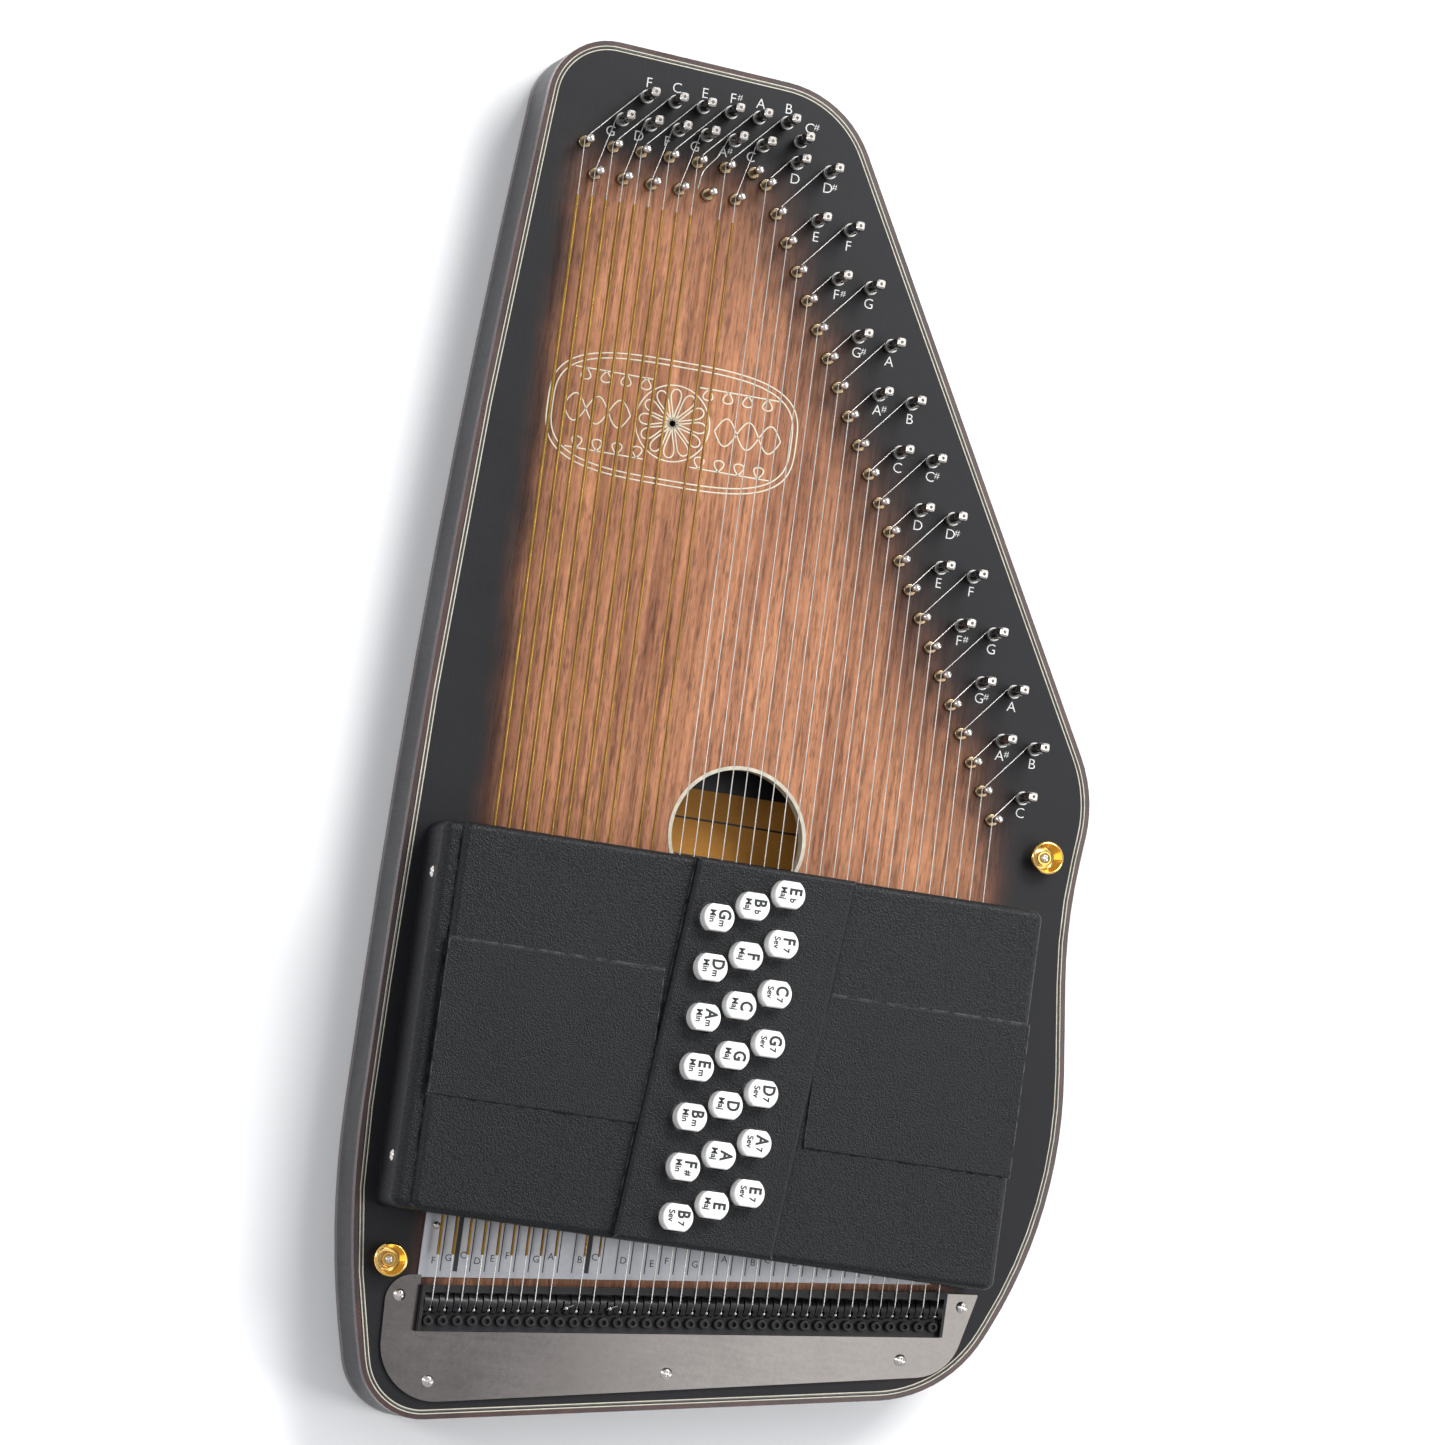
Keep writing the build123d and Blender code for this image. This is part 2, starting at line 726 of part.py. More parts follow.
note_low = housing_back + note_plate_gap
with BuildPart() as note_plate:
    with BuildSketch(Plane.XY.offset(face_z)):
        with BuildLine():
            strip = tail_strip(
                first_tuner.X - 6.2, last_tuner.X - 2.5, note_low, note_low + note_plate_depth
            )
            Polyline(*strip, close=True)
        make_face()
        with Locations([(p.X, p.Y) for p in note_plate_screws]):
            Circle(screw_shank_radius + pin_hole_clearance, mode=Mode.SUBTRACT)
    extrude(amount=note_plate_thickness)
write(note_plate.part, "note_plate")

# ---------------------------------------------------------------- chord bars

holder_top = bar_bottom + bar_height - 1.2
tooth_width = bar_pitch - bar_width - 2 * holder_clearance
holder_middle_y = (bars_y[0] + bars_y[-1]) / 2
holder_length = (bar_count - 1) * bar_pitch + bar_width + 2 * holder_clearance + 2 * tooth_width

bar_holders = []
for outer_x, inward in ((inside_left + 0.3, 1), (inside_right - 0.3, -1)):
    with BuildPart() as holder:
        with Locations((outer_x + inward * holder_depth / 2, holder_middle_y, face_z)):
            Box(
                holder_depth,
                holder_length,
                holder_top,
                align=(Align.CENTER, Align.CENTER, Align.MIN),
            )
        slot_depth = holder_depth - holder_wall
        slot_x = outer_x + inward * (holder_wall + slot_depth / 2)
        with Locations([(slot_x, y, face_z + holder_base) for y in bars_y]):
            Box(
                slot_depth,
                bar_width + 2 * holder_clearance,
                holder_top,
                align=(Align.CENTER, Align.CENTER, Align.MIN),
                mode=Mode.SUBTRACT,
            )
        screws_here = [p for p in holder_screws if abs(p.X - outer_x) < holder_depth]
        with Locations([(p.X, p.Y, face_z) for p in screws_here]):
            Cylinder(
                screw_shank_radius + pin_hole_clearance,
                2 * body_thickness,
                mode=Mode.SUBTRACT,
            )
        with Locations([(outer_x, y, cover_screw_z) for y in cover_screws_y]):
            Cylinder(
                screw_shank_radius + pin_hole_clearance,
                2 * (holder_wall - 0.6),
                rotation=(0, 90, 0),
                mode=Mode.SUBTRACT,
            )
    bar_holders.append(holder.part)
write(Compound(children=bar_holders), "bar_holders")

spring_bottom = face_z + holder_base
with BuildPart() as bar_spring:
    with BuildSketch():
        Circle(spring_radius)
        Circle(spring_radius - 2 * spring_wire, mode=Mode.SUBTRACT)
    extrude(amount=bar_bottom - holder_base)

spring_left = bar_left + spring_radius + 3.0
spring_right = bar_right - spring_radius - 3.0
with BuildPart() as bar_springs:
    with Locations([(x, y, spring_bottom) for y in bars_y for x in (spring_left, spring_right)]):
        add(bar_spring.part)
write(bar_springs.part, "bar_springs")

button_bottom = face_z + bar_bottom + bar_height
button_top = face_z + cover_panel_height + button_panel_rise + button_proud
cap_bottom = button_bottom + bar_travel + 0.8

for index, chord in enumerate(CHORD_BARS):
    bar_y = bars_y[index]
    column_x = columns_x[index % 3]
    sounding = chord_notes(chord)
    with BuildPart() as chord_bar:
        with BuildSketch(Plane.XY.offset(face_z + bar_bottom)):
            with Locations(((bar_left + bar_right) / 2, bar_y)):
                RectangleRounded(bar_right - bar_left, bar_width, 0.8)
        extrude(amount=bar_height)
        with Locations((column_x, bar_y, button_bottom)):
            Box(
                peg_size[0] + 2 * peg_clearance,
                peg_size[1] + 2 * peg_clearance,
                2 * (peg_size[2] + 0.2),
                mode=Mode.SUBTRACT,
            )
    pieces = [chord_bar.part]
    # felt under every string that the chord doesn't use, joined over neighbours
    first_damped = None
    for string in range(string_count + 1):
        damped = string < string_count and STRING_NOTES[string] not in sounding
        if damped and first_damped is None:
            first_damped = string
        if not damped and first_damped is not None:
            felt_left = datum.X + tail_shift / 2 + (first_damped - 0.42) * string_pitch
            felt_right = datum.X + tail_shift / 2 + (string - 1 + 0.42) * string_pitch
            with BuildPart() as felt:
                with Locations(((felt_left + felt_right) / 2, bar_y, face_z + bar_bottom)):
                    Box(
                        felt_right - felt_left,
                        bar_width - 0.6,
                        felt_thickness,
                        align=(Align.CENTER, Align.CENTER, Align.MAX),
                    )
            pieces.append(felt.part)
            first_damped = None
    write(Compound(children=pieces), f"chord_bar_{chord}")

    with BuildPart() as button:
        with BuildSketch(Plane.XY.offset(cap_bottom)):
            with Locations((column_x, bar_y)):
                Circle(button_radius)
                Rectangle(2 * button_radius, 2 * button_flat, mode=Mode.INTERSECT)
        extrude(amount=button_top - cap_bottom)
        rim = button.faces().sort_by(Axis.Z)[-1].edges()
        fillet(rim, 0.9)
        with BuildSketch(Plane.XY.offset(button_bottom)):
            with Locations((column_x, bar_y)):
                Rectangle(*button_stem)
        extrude(amount=cap_bottom - button_bottom)
        with BuildSketch(Plane.XY.offset(button_bottom - peg_size[2])):
            with Locations((column_x, bar_y)):
                Rectangle(peg_size[0], peg_size[1])
        extrude(amount=peg_size[2])
    write(button.part, f"button_{chord}")

# ---------------------------------------------------------------- cover

panel_left_x = datum.X + button_panel_left


def button_panel_corners(inset):
    """The button panel leans: its sides move left towards the tail."""
    lean = button_panel_slant * cover_length
    left = panel_left_x + inset
    right = panel_left_x + button_panel_width - inset
    head = cover_head - inset
    tail = cover_tail + inset
    return [(left, head), (right, head), (right - lean, tail), (left - lean, tail)]


def panel_side_x(y):
    """Left side of the button panel at a given y."""
    return panel_left_x - button_panel_slant * (cover_head - y)


with BuildPart() as chord_bar_cover:
    # main shell
    with BuildSketch(Plane.XY.offset(face_z)):
        with Locations(((main_left + cover_right) / 2, cover_middle_y)):
            RectangleRounded(cover_right - main_left, cover_length, 4.5)
    extrude(amount=cover_panel_height)
    top_rim = chord_bar_cover.faces().sort_by(Axis.Z)[-1].edges()
    fillet(top_rim, 3.0)
    # rounded end on the bass side
    with BuildPart(mode=Mode.PRIVATE) as end_block:
        with BuildSketch(Plane.XY.offset(face_z)):
            with Locations((cover_left + cover_end_width, cover_middle_y)):
                RectangleRounded(2 * cover_end_width, cover_length, 4.5)
        extrude(amount=cover_end_height)
        fillet(end_block.faces().sort_by(Axis.Z)[-1].edges(), 4.2)
    add(end_block.part)
    # raised middle panels on both sides
    step_head = cover_head - cover_step_head
    step_tail = cover_head - cover_step_tail
    for left, right in (
        (main_left, panel_side_x(cover_middle_y)),
        (panel_side_x(cover_middle_y) + button_panel_width, cover_right),
    ):
        with BuildPart(mode=Mode.PRIVATE) as middle_panel:
            with BuildSketch(Plane.XY.offset(face_z + cover_panel_height - panel_root)):
                with Locations(((left + right) / 2, (step_head + step_tail) / 2)):
                    Rectangle(right - left, step_head - step_tail)
            extrude(amount=panel_root + cover_step)
            long_rims = middle_panel.faces().sort_by(Axis.Z)[-1].edges().filter_by(Axis.X)
            fillet(long_rims, cover_step_round)
        add(middle_panel.part)
    # button panel
    with BuildPart(mode=Mode.PRIVATE) as panel_block:
        with BuildSketch(Plane.XY.offset(face_z + gate_height + 2)):
            with BuildLine():
                Polyline(*button_panel_corners(0), close=True)
            make_face()
        extrude(amount=cover_panel_height + button_panel_rise - gate_height - 2)
        fillet(panel_block.faces().sort_by(Axis.Z)[-1].edges(), 2.0)
    add(panel_block.part)
    # hollow
    with BuildSketch(Plane.XY.offset(face_z)):
        with Locations(((main_left + inside_right) / 2, cover_middle_y)):
            Rectangle(inside_right - main_left, cover_length - 2 * cover_wall)
    extrude(amount=cover_panel_height - cover_wall, mode=Mode.SUBTRACT)
    with BuildSketch(Plane.XY.offset(face_z)):
        with Locations((inside_left + cover_end_width, cover_middle_y)):
            Rectangle(2 * cover_end_width, cover_length - 2 * cover_wall)
    extrude(amount=cover_end_height - cover_wall, mode=Mode.SUBTRACT)
    with BuildSketch(Plane.XY.offset(face_z + gate_height + 4)):
        with BuildLine():
            Polyline(*button_panel_corners(cover_wall), close=True)
        make_face()
    extrude(
        amount=cover_panel_height + button_panel_rise - cover_wall - gate_height - 4,
        mode=Mode.SUBTRACT,
    )
    # gates for the strings
    gate_left = datum.X - 7.0
    gate_right = datum.X + last_string + 6.0
    with Locations(((gate_left + gate_right) / 2, cover_middle_y, face_z)):
        Box(
            gate_right - gate_left,
            2 * cover_length,
            gate_height,
            align=(Align.CENTER, Align.CENTER, Align.MIN),
            mode=Mode.SUBTRACT,
        )
    # a hole for each button
    for index in range(bar_count):
        with BuildSketch(Plane.XY.offset(face_z + cover_panel_height - panel_root)):
            with Locations((columns_x[index % 3], bars_y[index])):
                Circle(button_radius + button_clearance)
                Rectangle(
                    2 * (button_radius + button_clearance),
                    2 * (button_flat + button_clearance),
                    mode=Mode.INTERSECT,
                )
        extrude(amount=2 * (panel_root + button_panel_rise), mode=Mode.SUBTRACT)
    # screw holes in both ends
    with Locations([(x, y, cover_screw_z) for x in (cover_left, cover_right) for y in cover_screws_y]):
        Cylinder(
            screw_shank_radius + pin_hole_clearance,
            4 * cover_wall,
            rotation=(0, 90, 0),
            mode=Mode.SUBTRACT,
        )
write(chord_bar_cover.part, "chord_bar_cover")

# ---------------------------------------------------------------- screws and strap buttons


def wood_screw(length, head_radius=screw_head_radius):
    """A round-headed cross-slot screw, its head resting on z = 0."""
    with BuildPart() as screw:
        with Locations((0, 0, -length)):
            Cylinder(screw_shank_radius, length, align=(Align.CENTER, Align.CENTER, Align.MIN))
        with BuildSketch(Plane.XZ):
            with BuildLine():
                Polyline((0, screw_head_height), (0, 0), (head_radius, 0), (head_radius, 0.35))
                ThreePointArc(
                    (head_radius, 0.35),
                    (head_radius * 0.62, screw_head_height * 0.82),
                    (0, screw_head_height),
                )
            make_face()
        revolve(axis=Axis.Z)
        with BuildSketch(Plane.XY.offset(screw_head_height + 0.1)):
            Rectangle(head_radius * 1.1, head_radius * 0.3)
            Rectangle(head_radius * 0.3, head_radius * 1.1)
        extrude(amount=-1.0, mode=Mode.SUBTRACT)
    return screw.part


strap_screw_z = face_z + dish_floor
holder_screw_z = face_z + holder_top
with BuildPart() as screws:
    with Locations([(p.X, p.Y, face_z + plate_thickness) for p in plate_screws]):
        add(wood_screw(screw_length - 2))
    with Locations([(p.X, p.Y, face_z + note_plate_thickness) for p in note_plate_screws]):
        add(wood_screw(screw_length - 2, 1.6))
    with Locations([(p.X, p.Y, strap_screw_z) for p in strap_buttons_xy]):
        add(wood_screw(screw_length, 2.4))
    with Locations([(p.X, p.Y, holder_screw_z) for p in holder_screws]):
        add(wood_screw(holder_top + screw_length - 2, 1.35))
    with Locations([Location((cover_left, y, cover_screw_z), (0, -90, 0)) for y in cover_screws_y]):
        add(wood_screw(cover_wall + holder_wall - 1.2))
    with Locations([Location((cover_right, y, cover_screw_z), (0, 90, 0)) for y in cover_screws_y]):
        add(wood_screw(cover_wall + holder_wall - 1.2))
write(screws.part, "screws")

with BuildPart() as strap_button:
    with BuildSketch(Plane.XZ):
        with BuildLine():
            bore = screw_shank_radius + pin_hole_clearance
            Polyline(
                (bore, dish_floor),
                (bore, 0),
                (5.4, 0),
                (5.4, 1.0),
                (3.9, 2.0),
                (3.9, 3.6),
            )
            ThreePointArc(
                (3.9, 3.6), (5.2, 5.4), (strap_rim_radius, strap_height - 1.6)
            )
            ThreePointArc(
                (strap_rim_radius, strap_height - 1.6),
                (strap_rim_radius + 0.1, strap_height - 0.6),
                (strap_rim_radius - 0.8, strap_height),
            )
            ThreePointArc(
                (strap_rim_radius - 0.8, strap_height), (5.2, strap_height - 1.6), (2.9, dish_floor)
            )
            Line((2.9, dish_floor), (bore, dish_floor))
        make_face()
    revolve(axis=Axis.Z)

with BuildPart() as strap_buttons:
    with Locations([(p.X, p.Y, face_z) for p in strap_buttons_xy]):
        add(strap_button.part)
write(strap_buttons.part, "strap_buttons")
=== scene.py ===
import math

import bpy
from mathutils import Matrix, Vector


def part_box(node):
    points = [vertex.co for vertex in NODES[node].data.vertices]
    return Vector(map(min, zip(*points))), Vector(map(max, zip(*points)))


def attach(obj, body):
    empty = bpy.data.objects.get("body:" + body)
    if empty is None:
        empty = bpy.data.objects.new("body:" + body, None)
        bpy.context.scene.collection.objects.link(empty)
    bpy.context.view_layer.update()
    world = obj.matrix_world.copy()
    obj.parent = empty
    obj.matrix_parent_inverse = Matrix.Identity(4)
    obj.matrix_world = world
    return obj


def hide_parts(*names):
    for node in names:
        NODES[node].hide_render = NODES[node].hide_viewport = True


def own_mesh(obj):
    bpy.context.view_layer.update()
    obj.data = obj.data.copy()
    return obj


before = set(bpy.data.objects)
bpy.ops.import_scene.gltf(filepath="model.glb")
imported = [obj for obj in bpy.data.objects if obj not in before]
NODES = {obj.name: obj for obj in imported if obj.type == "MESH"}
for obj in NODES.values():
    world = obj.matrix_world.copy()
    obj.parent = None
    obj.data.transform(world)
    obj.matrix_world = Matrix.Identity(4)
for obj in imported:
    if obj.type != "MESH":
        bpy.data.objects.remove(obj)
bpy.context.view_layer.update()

bl_info = {
    "name": "Chorded Zither",
    "version": (1, 0, 0),
    "blender": (4, 5, 0),
    "location": "View3D > Sidebar > Zither",
    "description": "Finishes a chorded zither: lacquers, metalwork, lettering, springs and studio",
    "category": "Object",
}

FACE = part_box("soundboard")[1].z

# ------------------------------------------------------------------ layout of the instrument

MM = 0.001
STRINGS = 36
BASS = 13                               # strings in the two rows at the head
PITCH = 6.35 * MM
GUIDE_RING = 2.85 * MM
FIRST_PIN = Vector((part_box("guide_pins")[0].x + GUIDE_RING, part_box("guide_pins")[1].y - GUIDE_RING))
BASS_ROW_GAP = 13.0 * MM
ROW_DROP = 11.7 * MM                    # from one slanted row's pin to the next, along the strings
ROW_START = 4.3 * MM
ROW_OUT = Vector((11.7, 6.35)).normalized()
TAIL_SLOPE = math.tan(math.radians(6.85))
TAIL_SHIFT = 2.9 * MM
STRING_LENGTH = 509.9 * MM
STRING_Z = FACE + 7.6 * MM
WOUND = (1, 2, 3, 4, 5, 6, 7, 8, 9, 11, 12)
THICK_WINDING, THIN_WINDING = 0.72, 0.45    # radii, in millimetres
WINDING_CLEAR = 0.05
WINDING_TURN = 0.42 * MM
TAIL_BARE, HEAD_BARE = 19.46 * MM, 24.96 * MM
COIL_RADIUS, COIL_FOOT, COIL_LENGTH = 2.72 * MM, 4.2 * MM, 2.2 * MM
SPRING_INSET = 2.1 * MM
FELT_TOP = 15.59 * MM                   # above the face, with the bar at rest
BURST_PAST_PINS = 6 * MM
OUTLINE_STEP = math.radians(4)
CAPITAL_SHARE = 0.72                    # of a font's size that its capitals take up
CHORDS = [name[7:] for name in NODES if name.startswith("button_")]
CHORDS.sort(key=lambda chord: -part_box("button_" + chord)[0].y)
STRING_NAMES = "F G C D E F F# G A A# B C C# D D# E F F# G G# A A# B C C# D D# E F F# G G# A A# B C".split()


def guide_pin(index):
    """Where a string's guide pin stands on the face."""
    if index >= BASS:
        drop = ROW_START + ROW_DROP * (index - BASS)
    else:
        drop = BASS_ROW_GAP if index % 2 else 0.0
    return FIRST_PIN + Vector((index * PITCH, -drop))


def tuning_pin(index):
    """Where a string's tuning pin stands on the face."""
    if index < BASS - 1:
        step = (7.7, 24.6) if index % 2 else (23.4, 23.4)
    elif index == BASS - 1:
        step = (18.0, 16.5)
    else:
        step = (11.3, 11.2) if index % 2 else (20.1, 21.5)
    return guide_pin(index) + Vector(step) * MM


def tuner(index):
    """Where a string's fine tuner sits."""
    across = index * PITCH
    return FIRST_PIN + Vector((TAIL_SHIFT + across, -STRING_LENGTH + across * TAIL_SLOPE))


def on_face(x, y):
    """A point of the face, in millimetres from the first guide pin."""
    return FIRST_PIN + Vector((x, y)) * MM


# ------------------------------------------------------------------ settings


def colour(name, description, default):
    return bpy.props.FloatVectorProperty(
        name=name, description=description, subtype="COLOR", size=3, min=0, max=1, default=default
    )


def length(name, description, default):
    return bpy.props.FloatProperty(
        name=name, description=description, default=default, unit="LENGTH", precision=5
    )


class ZitherColours(bpy.types.PropertyGroup):
    wood_light: colour("Light Wood", "Pale streaks of the soundboard", (0.54, 0.245, 0.122))
    wood_dark: colour("Dark Wood", "Dark lines of the soundboard", (0.175, 0.062, 0.030))
    burst: colour("Sunburst", "Lacquer round the edge of the face", (0.0068, 0.0069, 0.0080))
    sides: colour("Sides", "Lacquer of the sides and back", (0.0105, 0.0105, 0.0125))
    binding: colour("Binding", "Strip along the outer edges", (0.032, 0.011, 0.008))
    ivory: colour("Ivory", "Purfling lines and sound hole ring", (0.58, 0.54, 0.43))
    raw_wood: colour("Raw Wood", "Inside of the body and the bars", (0.46, 0.27, 0.13))
    nickel: colour("Nickel", "Pins and screws", (0.66, 0.62, 0.58))
    steel: colour("Plain Wire", "Treble strings", (0.50, 0.485, 0.46))
    bronze: colour("Winding", "Wound strings", (0.60, 0.35, 0.085))
    plate: colour("Tail Plate", "Polished plate at the tail", (0.19, 0.175, 0.166))
    note_plate: colour("Note Plate", "Plate under the tail end of the strings", (0.36, 0.365, 0.38))
    gold: colour("Gold", "Strap buttons", (0.90, 0.58, 0.17))
    cover: colour("Cover", "Grained cover over the chord bars", (0.0050, 0.0053, 0.0062))
    button: colour("Button", "Push buttons", (0.83, 0.83, 0.81))
    print_ink: colour("Ink", "Lettering of the buttons", (0.012, 0.012, 0.012))
    print_silver: colour("Silver Print", "Note names on the face", (0.62, 0.62, 0.60))
    paper: colour("Paper", "Label inside the body", (0.62, 0.27, 0.035))
    floor: colour("Floor", "Studio floor", (0.86, 0.86, 0.86))


class ZitherSizes(bpy.types.PropertyGroup):
    ivory_line: length("Ivory Line", "Width of an ivory purfling line", 0.0005)
    black_line: length("Black Line", "Width of the black purfling line", 0.0010)
    line_rise: length("Line Rise", "How far the purfling stands above the face", 0.00006)
    spring_wire: length("Spring Wire", "Thickness of the spring wire", 0.0006)
    spring_radius: length("Spring Radius", "Radius of a bar spring", 0.0018)
    pin_wire: length("Pin Wire", "Thickness of the wire on the tuning pins", 0.00056)
    letter: length("Letter", "Height of the chord letters", 0.0054)
    note_letter: length("Note Letter", "Height of the note names", 0.0046)
    print_rise: length("Print Rise", "Thickness of printed letters", 0.00005)


def colours():
    return bpy.context.scene.zither_colours


def sizes():
    return bpy.context.scene.zither_sizes


def rgba(value, share=1.0):
    """A colour for a socket, lighter or darker by a share."""
    return (*(v * share for v in value), 1.0)


# ------------------------------------------------------------------ node wiring


class Wiring:
    """Adds nodes to one tree and joins them."""

    def __init__(self, tree):
        self.tree = tree

    def feed(self, socket, value):
        """Joins an output to a socket, or sets the socket's constant."""
        if isinstance(value, bpy.types.NodeSocket):
            self.tree.links.new(value, socket)
        else:
            socket.default_value = value

    def add(self, kind, inputs=(), **settings):
        made = self.tree.nodes.new(kind)
        for key, value in settings.items():
            setattr(made, key, value)
        for key, value in dict(inputs).items():
            self.feed(made.inputs[key], value)
        return made

    def maths(self, operation, *values):
        return self.add("ShaderNodeMath", dict(enumerate(values)), operation=operation).outputs[0]

    def vector(self, operation, *values, output=0):
        made = self.add("ShaderNodeVectorMath", dict(enumerate(values)), operation=operation)
        return made.outputs[output]

    def mix(self, factor, a, b, blend="MIX"):
        inputs = {0: factor, 6: a, 7: b}
        return self.add("ShaderNodeMix", inputs, data_type="RGBA", blend_type=blend).outputs[2]

    def spread(self, value, low, high, to_low=0.0, to_high=1.0, smooth=False):
        made = self.add(
            "ShaderNodeMapRange",
            {"Value": value, "From Min": low, "From Max": high, "To Min": to_low, "To Max": to_high},
            interpolation_type="SMOOTHSTEP" if smooth else "LINEAR",
        )
        return made.outputs["Result"]

    def place(self):
        return self.add("ShaderNodeTexCoord").outputs["Object"]

    def axis(self, name):
        """One axis of the object coordinates."""
        return self.add("ShaderNodeSeparateXYZ", {0: self.place()}).outputs[name]

    def stretched(self, scale):
        """Object coordinates, stretched by a scale for each axis."""
        return self.add("ShaderNodeMapping", {"Vector": self.place(), "Scale": scale}).outputs["Vector"]

    def noise(self, vector, detail=3.0, rough=0.5, twist=0.0):
        inputs = {"Vector": vector, "Scale": 1.0, "Detail": detail, "Roughness": rough, "Distortion": twist}
        return self.add("ShaderNodeTexNoise", inputs).outputs["Fac"]

    def grain(self, scale, **settings):
        """Noise over stretched object coordinates; one number stands for all three axes."""
        scale = scale if isinstance(scale, tuple) else (scale,) * 3
        return self.noise(self.stretched(scale), **settings)


def new_group(name, takes, gives):
    """An empty shader group with named sockets."""
    tree = bpy.data.node_groups.new(name, "ShaderNodeTree")
    for label, kind, default in takes:
        socket = tree.interface.new_socket(label, in_out="INPUT", socket_type="NodeSocket" + kind)
        socket.default_value = default
    for label, kind in gives:
        tree.interface.new_socket(label, in_out="OUTPUT", socket_type="NodeSocket" + kind)
    wires = Wiring(tree)
    start = wires.add("NodeGroupInput")
    end = wires.add("NodeGroupOutput")
    return wires, start.outputs, end.inputs


def straight_grain_group(name):
    """Long straight wood grain along Y, with pores and a slow change of shade."""
    grey = (0.5, 0.5, 0.5, 1.0)
    wires, takes, gives = new_group(
        name,
        [("Light", "Color", grey), ("Dark", "Color", grey), ("Pores", "Float", 0.5)],
        [("Colour", "Color"), ("Height", "Float")],
    )
    drift = wires.grain((16, 4.0, 16), detail=2.0, twist=0.8)
    lines = wires.grain((520, 13, 520), detail=5.0, rough=0.68, twist=0.5)
    streaks = wires.grain((130, 4.5, 130), detail=4.0, rough=0.6, twist=1.0)
    pores = wires.grain((1250, 95, 1250), detail=2.0, rough=0.6)
    flecks = wires.grain((420, 170, 420), detail=4.0, rough=0.65)
    shade = wires.maths("MULTIPLY_ADD", lines, 0.72, wires.maths("MULTIPLY", streaks, 0.32))
    shade = wires.maths("MULTIPLY_ADD", drift, 0.40, shade)
    tint = wires.mix(wires.spread(shade, 0.50, 0.86), takes["Dark"], takes["Light"])
    pore_mask = wires.spread(pores, 0.38, 0.48)
    pore_depth = wires.maths("MULTIPLY", takes["Pores"], wires.maths("SUBTRACT", 1.0, pore_mask))
    fleck_shade = wires.spread(flecks, 0.32, 0.68, 0.82, 1.10)
    both = wires.maths("MULTIPLY", wires.maths("SUBTRACT", 1.0, pore_depth), fleck_shade)
    grey = wires.add("ShaderNodeCombineColor", {"Red": both, "Green": both, "Blue": both}).outputs[0]
    wires.feed(gives["Colour"], wires.mix(1.0, tint, grey, "MULTIPLY"))
    wires.feed(gives["Height"], wires.maths("MULTIPLY", pore_mask, lines))


def sunburst_group(name):
    """How far a point of the face is inside the dark edge: 0 at the edge, 1 in the middle."""
    wires, takes, gives = new_group(name, [("Softness", "Float", 0.017)], [("Mask", "Float")])
    place = wires.place()
    slant = guide_pin(BASS) - ROW_OUT * BURST_PAST_PINS
    edges = [
        ((1, 0), on_face(1.0, 0), 1.0),
        ((0, -1), on_face(0, -10.0), 0.75),
        ((-ROW_OUT.x, -ROW_OUT.y), slant, 0.55),
        ((-1, 0), on_face(226.0, 0), 1.0),
        ((0, 1), on_face(0, -497.0), 1.0),
    ]
    nearest = None
    for direction, through, steepness in edges:
        along = wires.vector("DOT_PRODUCT", place, (*direction, 0), output="Value")
        offset = -(direction[0] * through.x + direction[1] * through.y)
        depth = wires.maths("MULTIPLY", wires.maths("ADD", along, offset), steepness)
        nearest = depth if nearest is None else wires.maths("SMOOTH_MIN", nearest, depth, 0.02)
    cloud = wires.grain(26, detail=2.0)
    wobble = wires.maths("MULTIPLY", wires.maths("SUBTRACT", cloud, 0.5), 0.012)
    share = wires.maths("DIVIDE", wires.maths("ADD", nearest, wobble), takes["Softness"])
    wires.feed(gives["Mask"], wires.spread(share, -0.9, 1.1, smooth=True))


def handling_group(name):
    """Handling marks: broad patches, fine dust and faint rubbed lines, as a mask from 0 to 1."""
    wires, takes, gives = new_group(name, [("Amount", "Float", 1.0)], [("Mask", "Float")])
    patches = wires.grain(18, detail=4.0, rough=0.6, twist=0.5)
    dust = wires.grain(900, detail=2.0, rough=0.7)
    rubs = wires.grain((40, 420, 40), detail=3.0, rough=0.65, twist=0.4)
    total = wires.maths("MULTIPLY_ADD", dust, 0.35, wires.maths("MULTIPLY", patches, 0.55))
    total = wires.maths("MULTIPLY_ADD", rubs, 0.25, total)
    mask = wires.spread(total, 0.42, 0.78, smooth=True)
    wires.feed(gives["Mask"], wires.maths("MULTIPLY", mask, takes["Amount"]))


def pebble_group(name):
    """Moulded pebble grain: small rounded grains with creases between them."""
    outputs = [("Height", "Float"), ("Crease", "Float")]
    wires, takes, gives = new_group(name, [("Scale", "Float", 950.0)], outputs)
    place = wires.place()
    inputs = {"Vector": place, "Scale": 420.0, "Detail": 2.0}
    wander = wires.add("ShaderNodeTexNoise", inputs).outputs["Color"]
    moved = wires.vector("ADD", place, wires.vector("MULTIPLY", wander, (0.0011,) * 3))
    inputs = {"Vector": moved, "Scale": takes["Scale"], "Smoothness": 0.6}
    cells = wires.add("ShaderNodeTexVoronoi", inputs, feature="SMOOTH_F1").outputs["Distance"]
    wires.feed(gives["Height"], wires.spread(cells, 0.1, 0.75, 1.0, 0.0, smooth=True))
    wires.feed(gives["Crease"], wires.spread(cells, 0.45, 0.85))


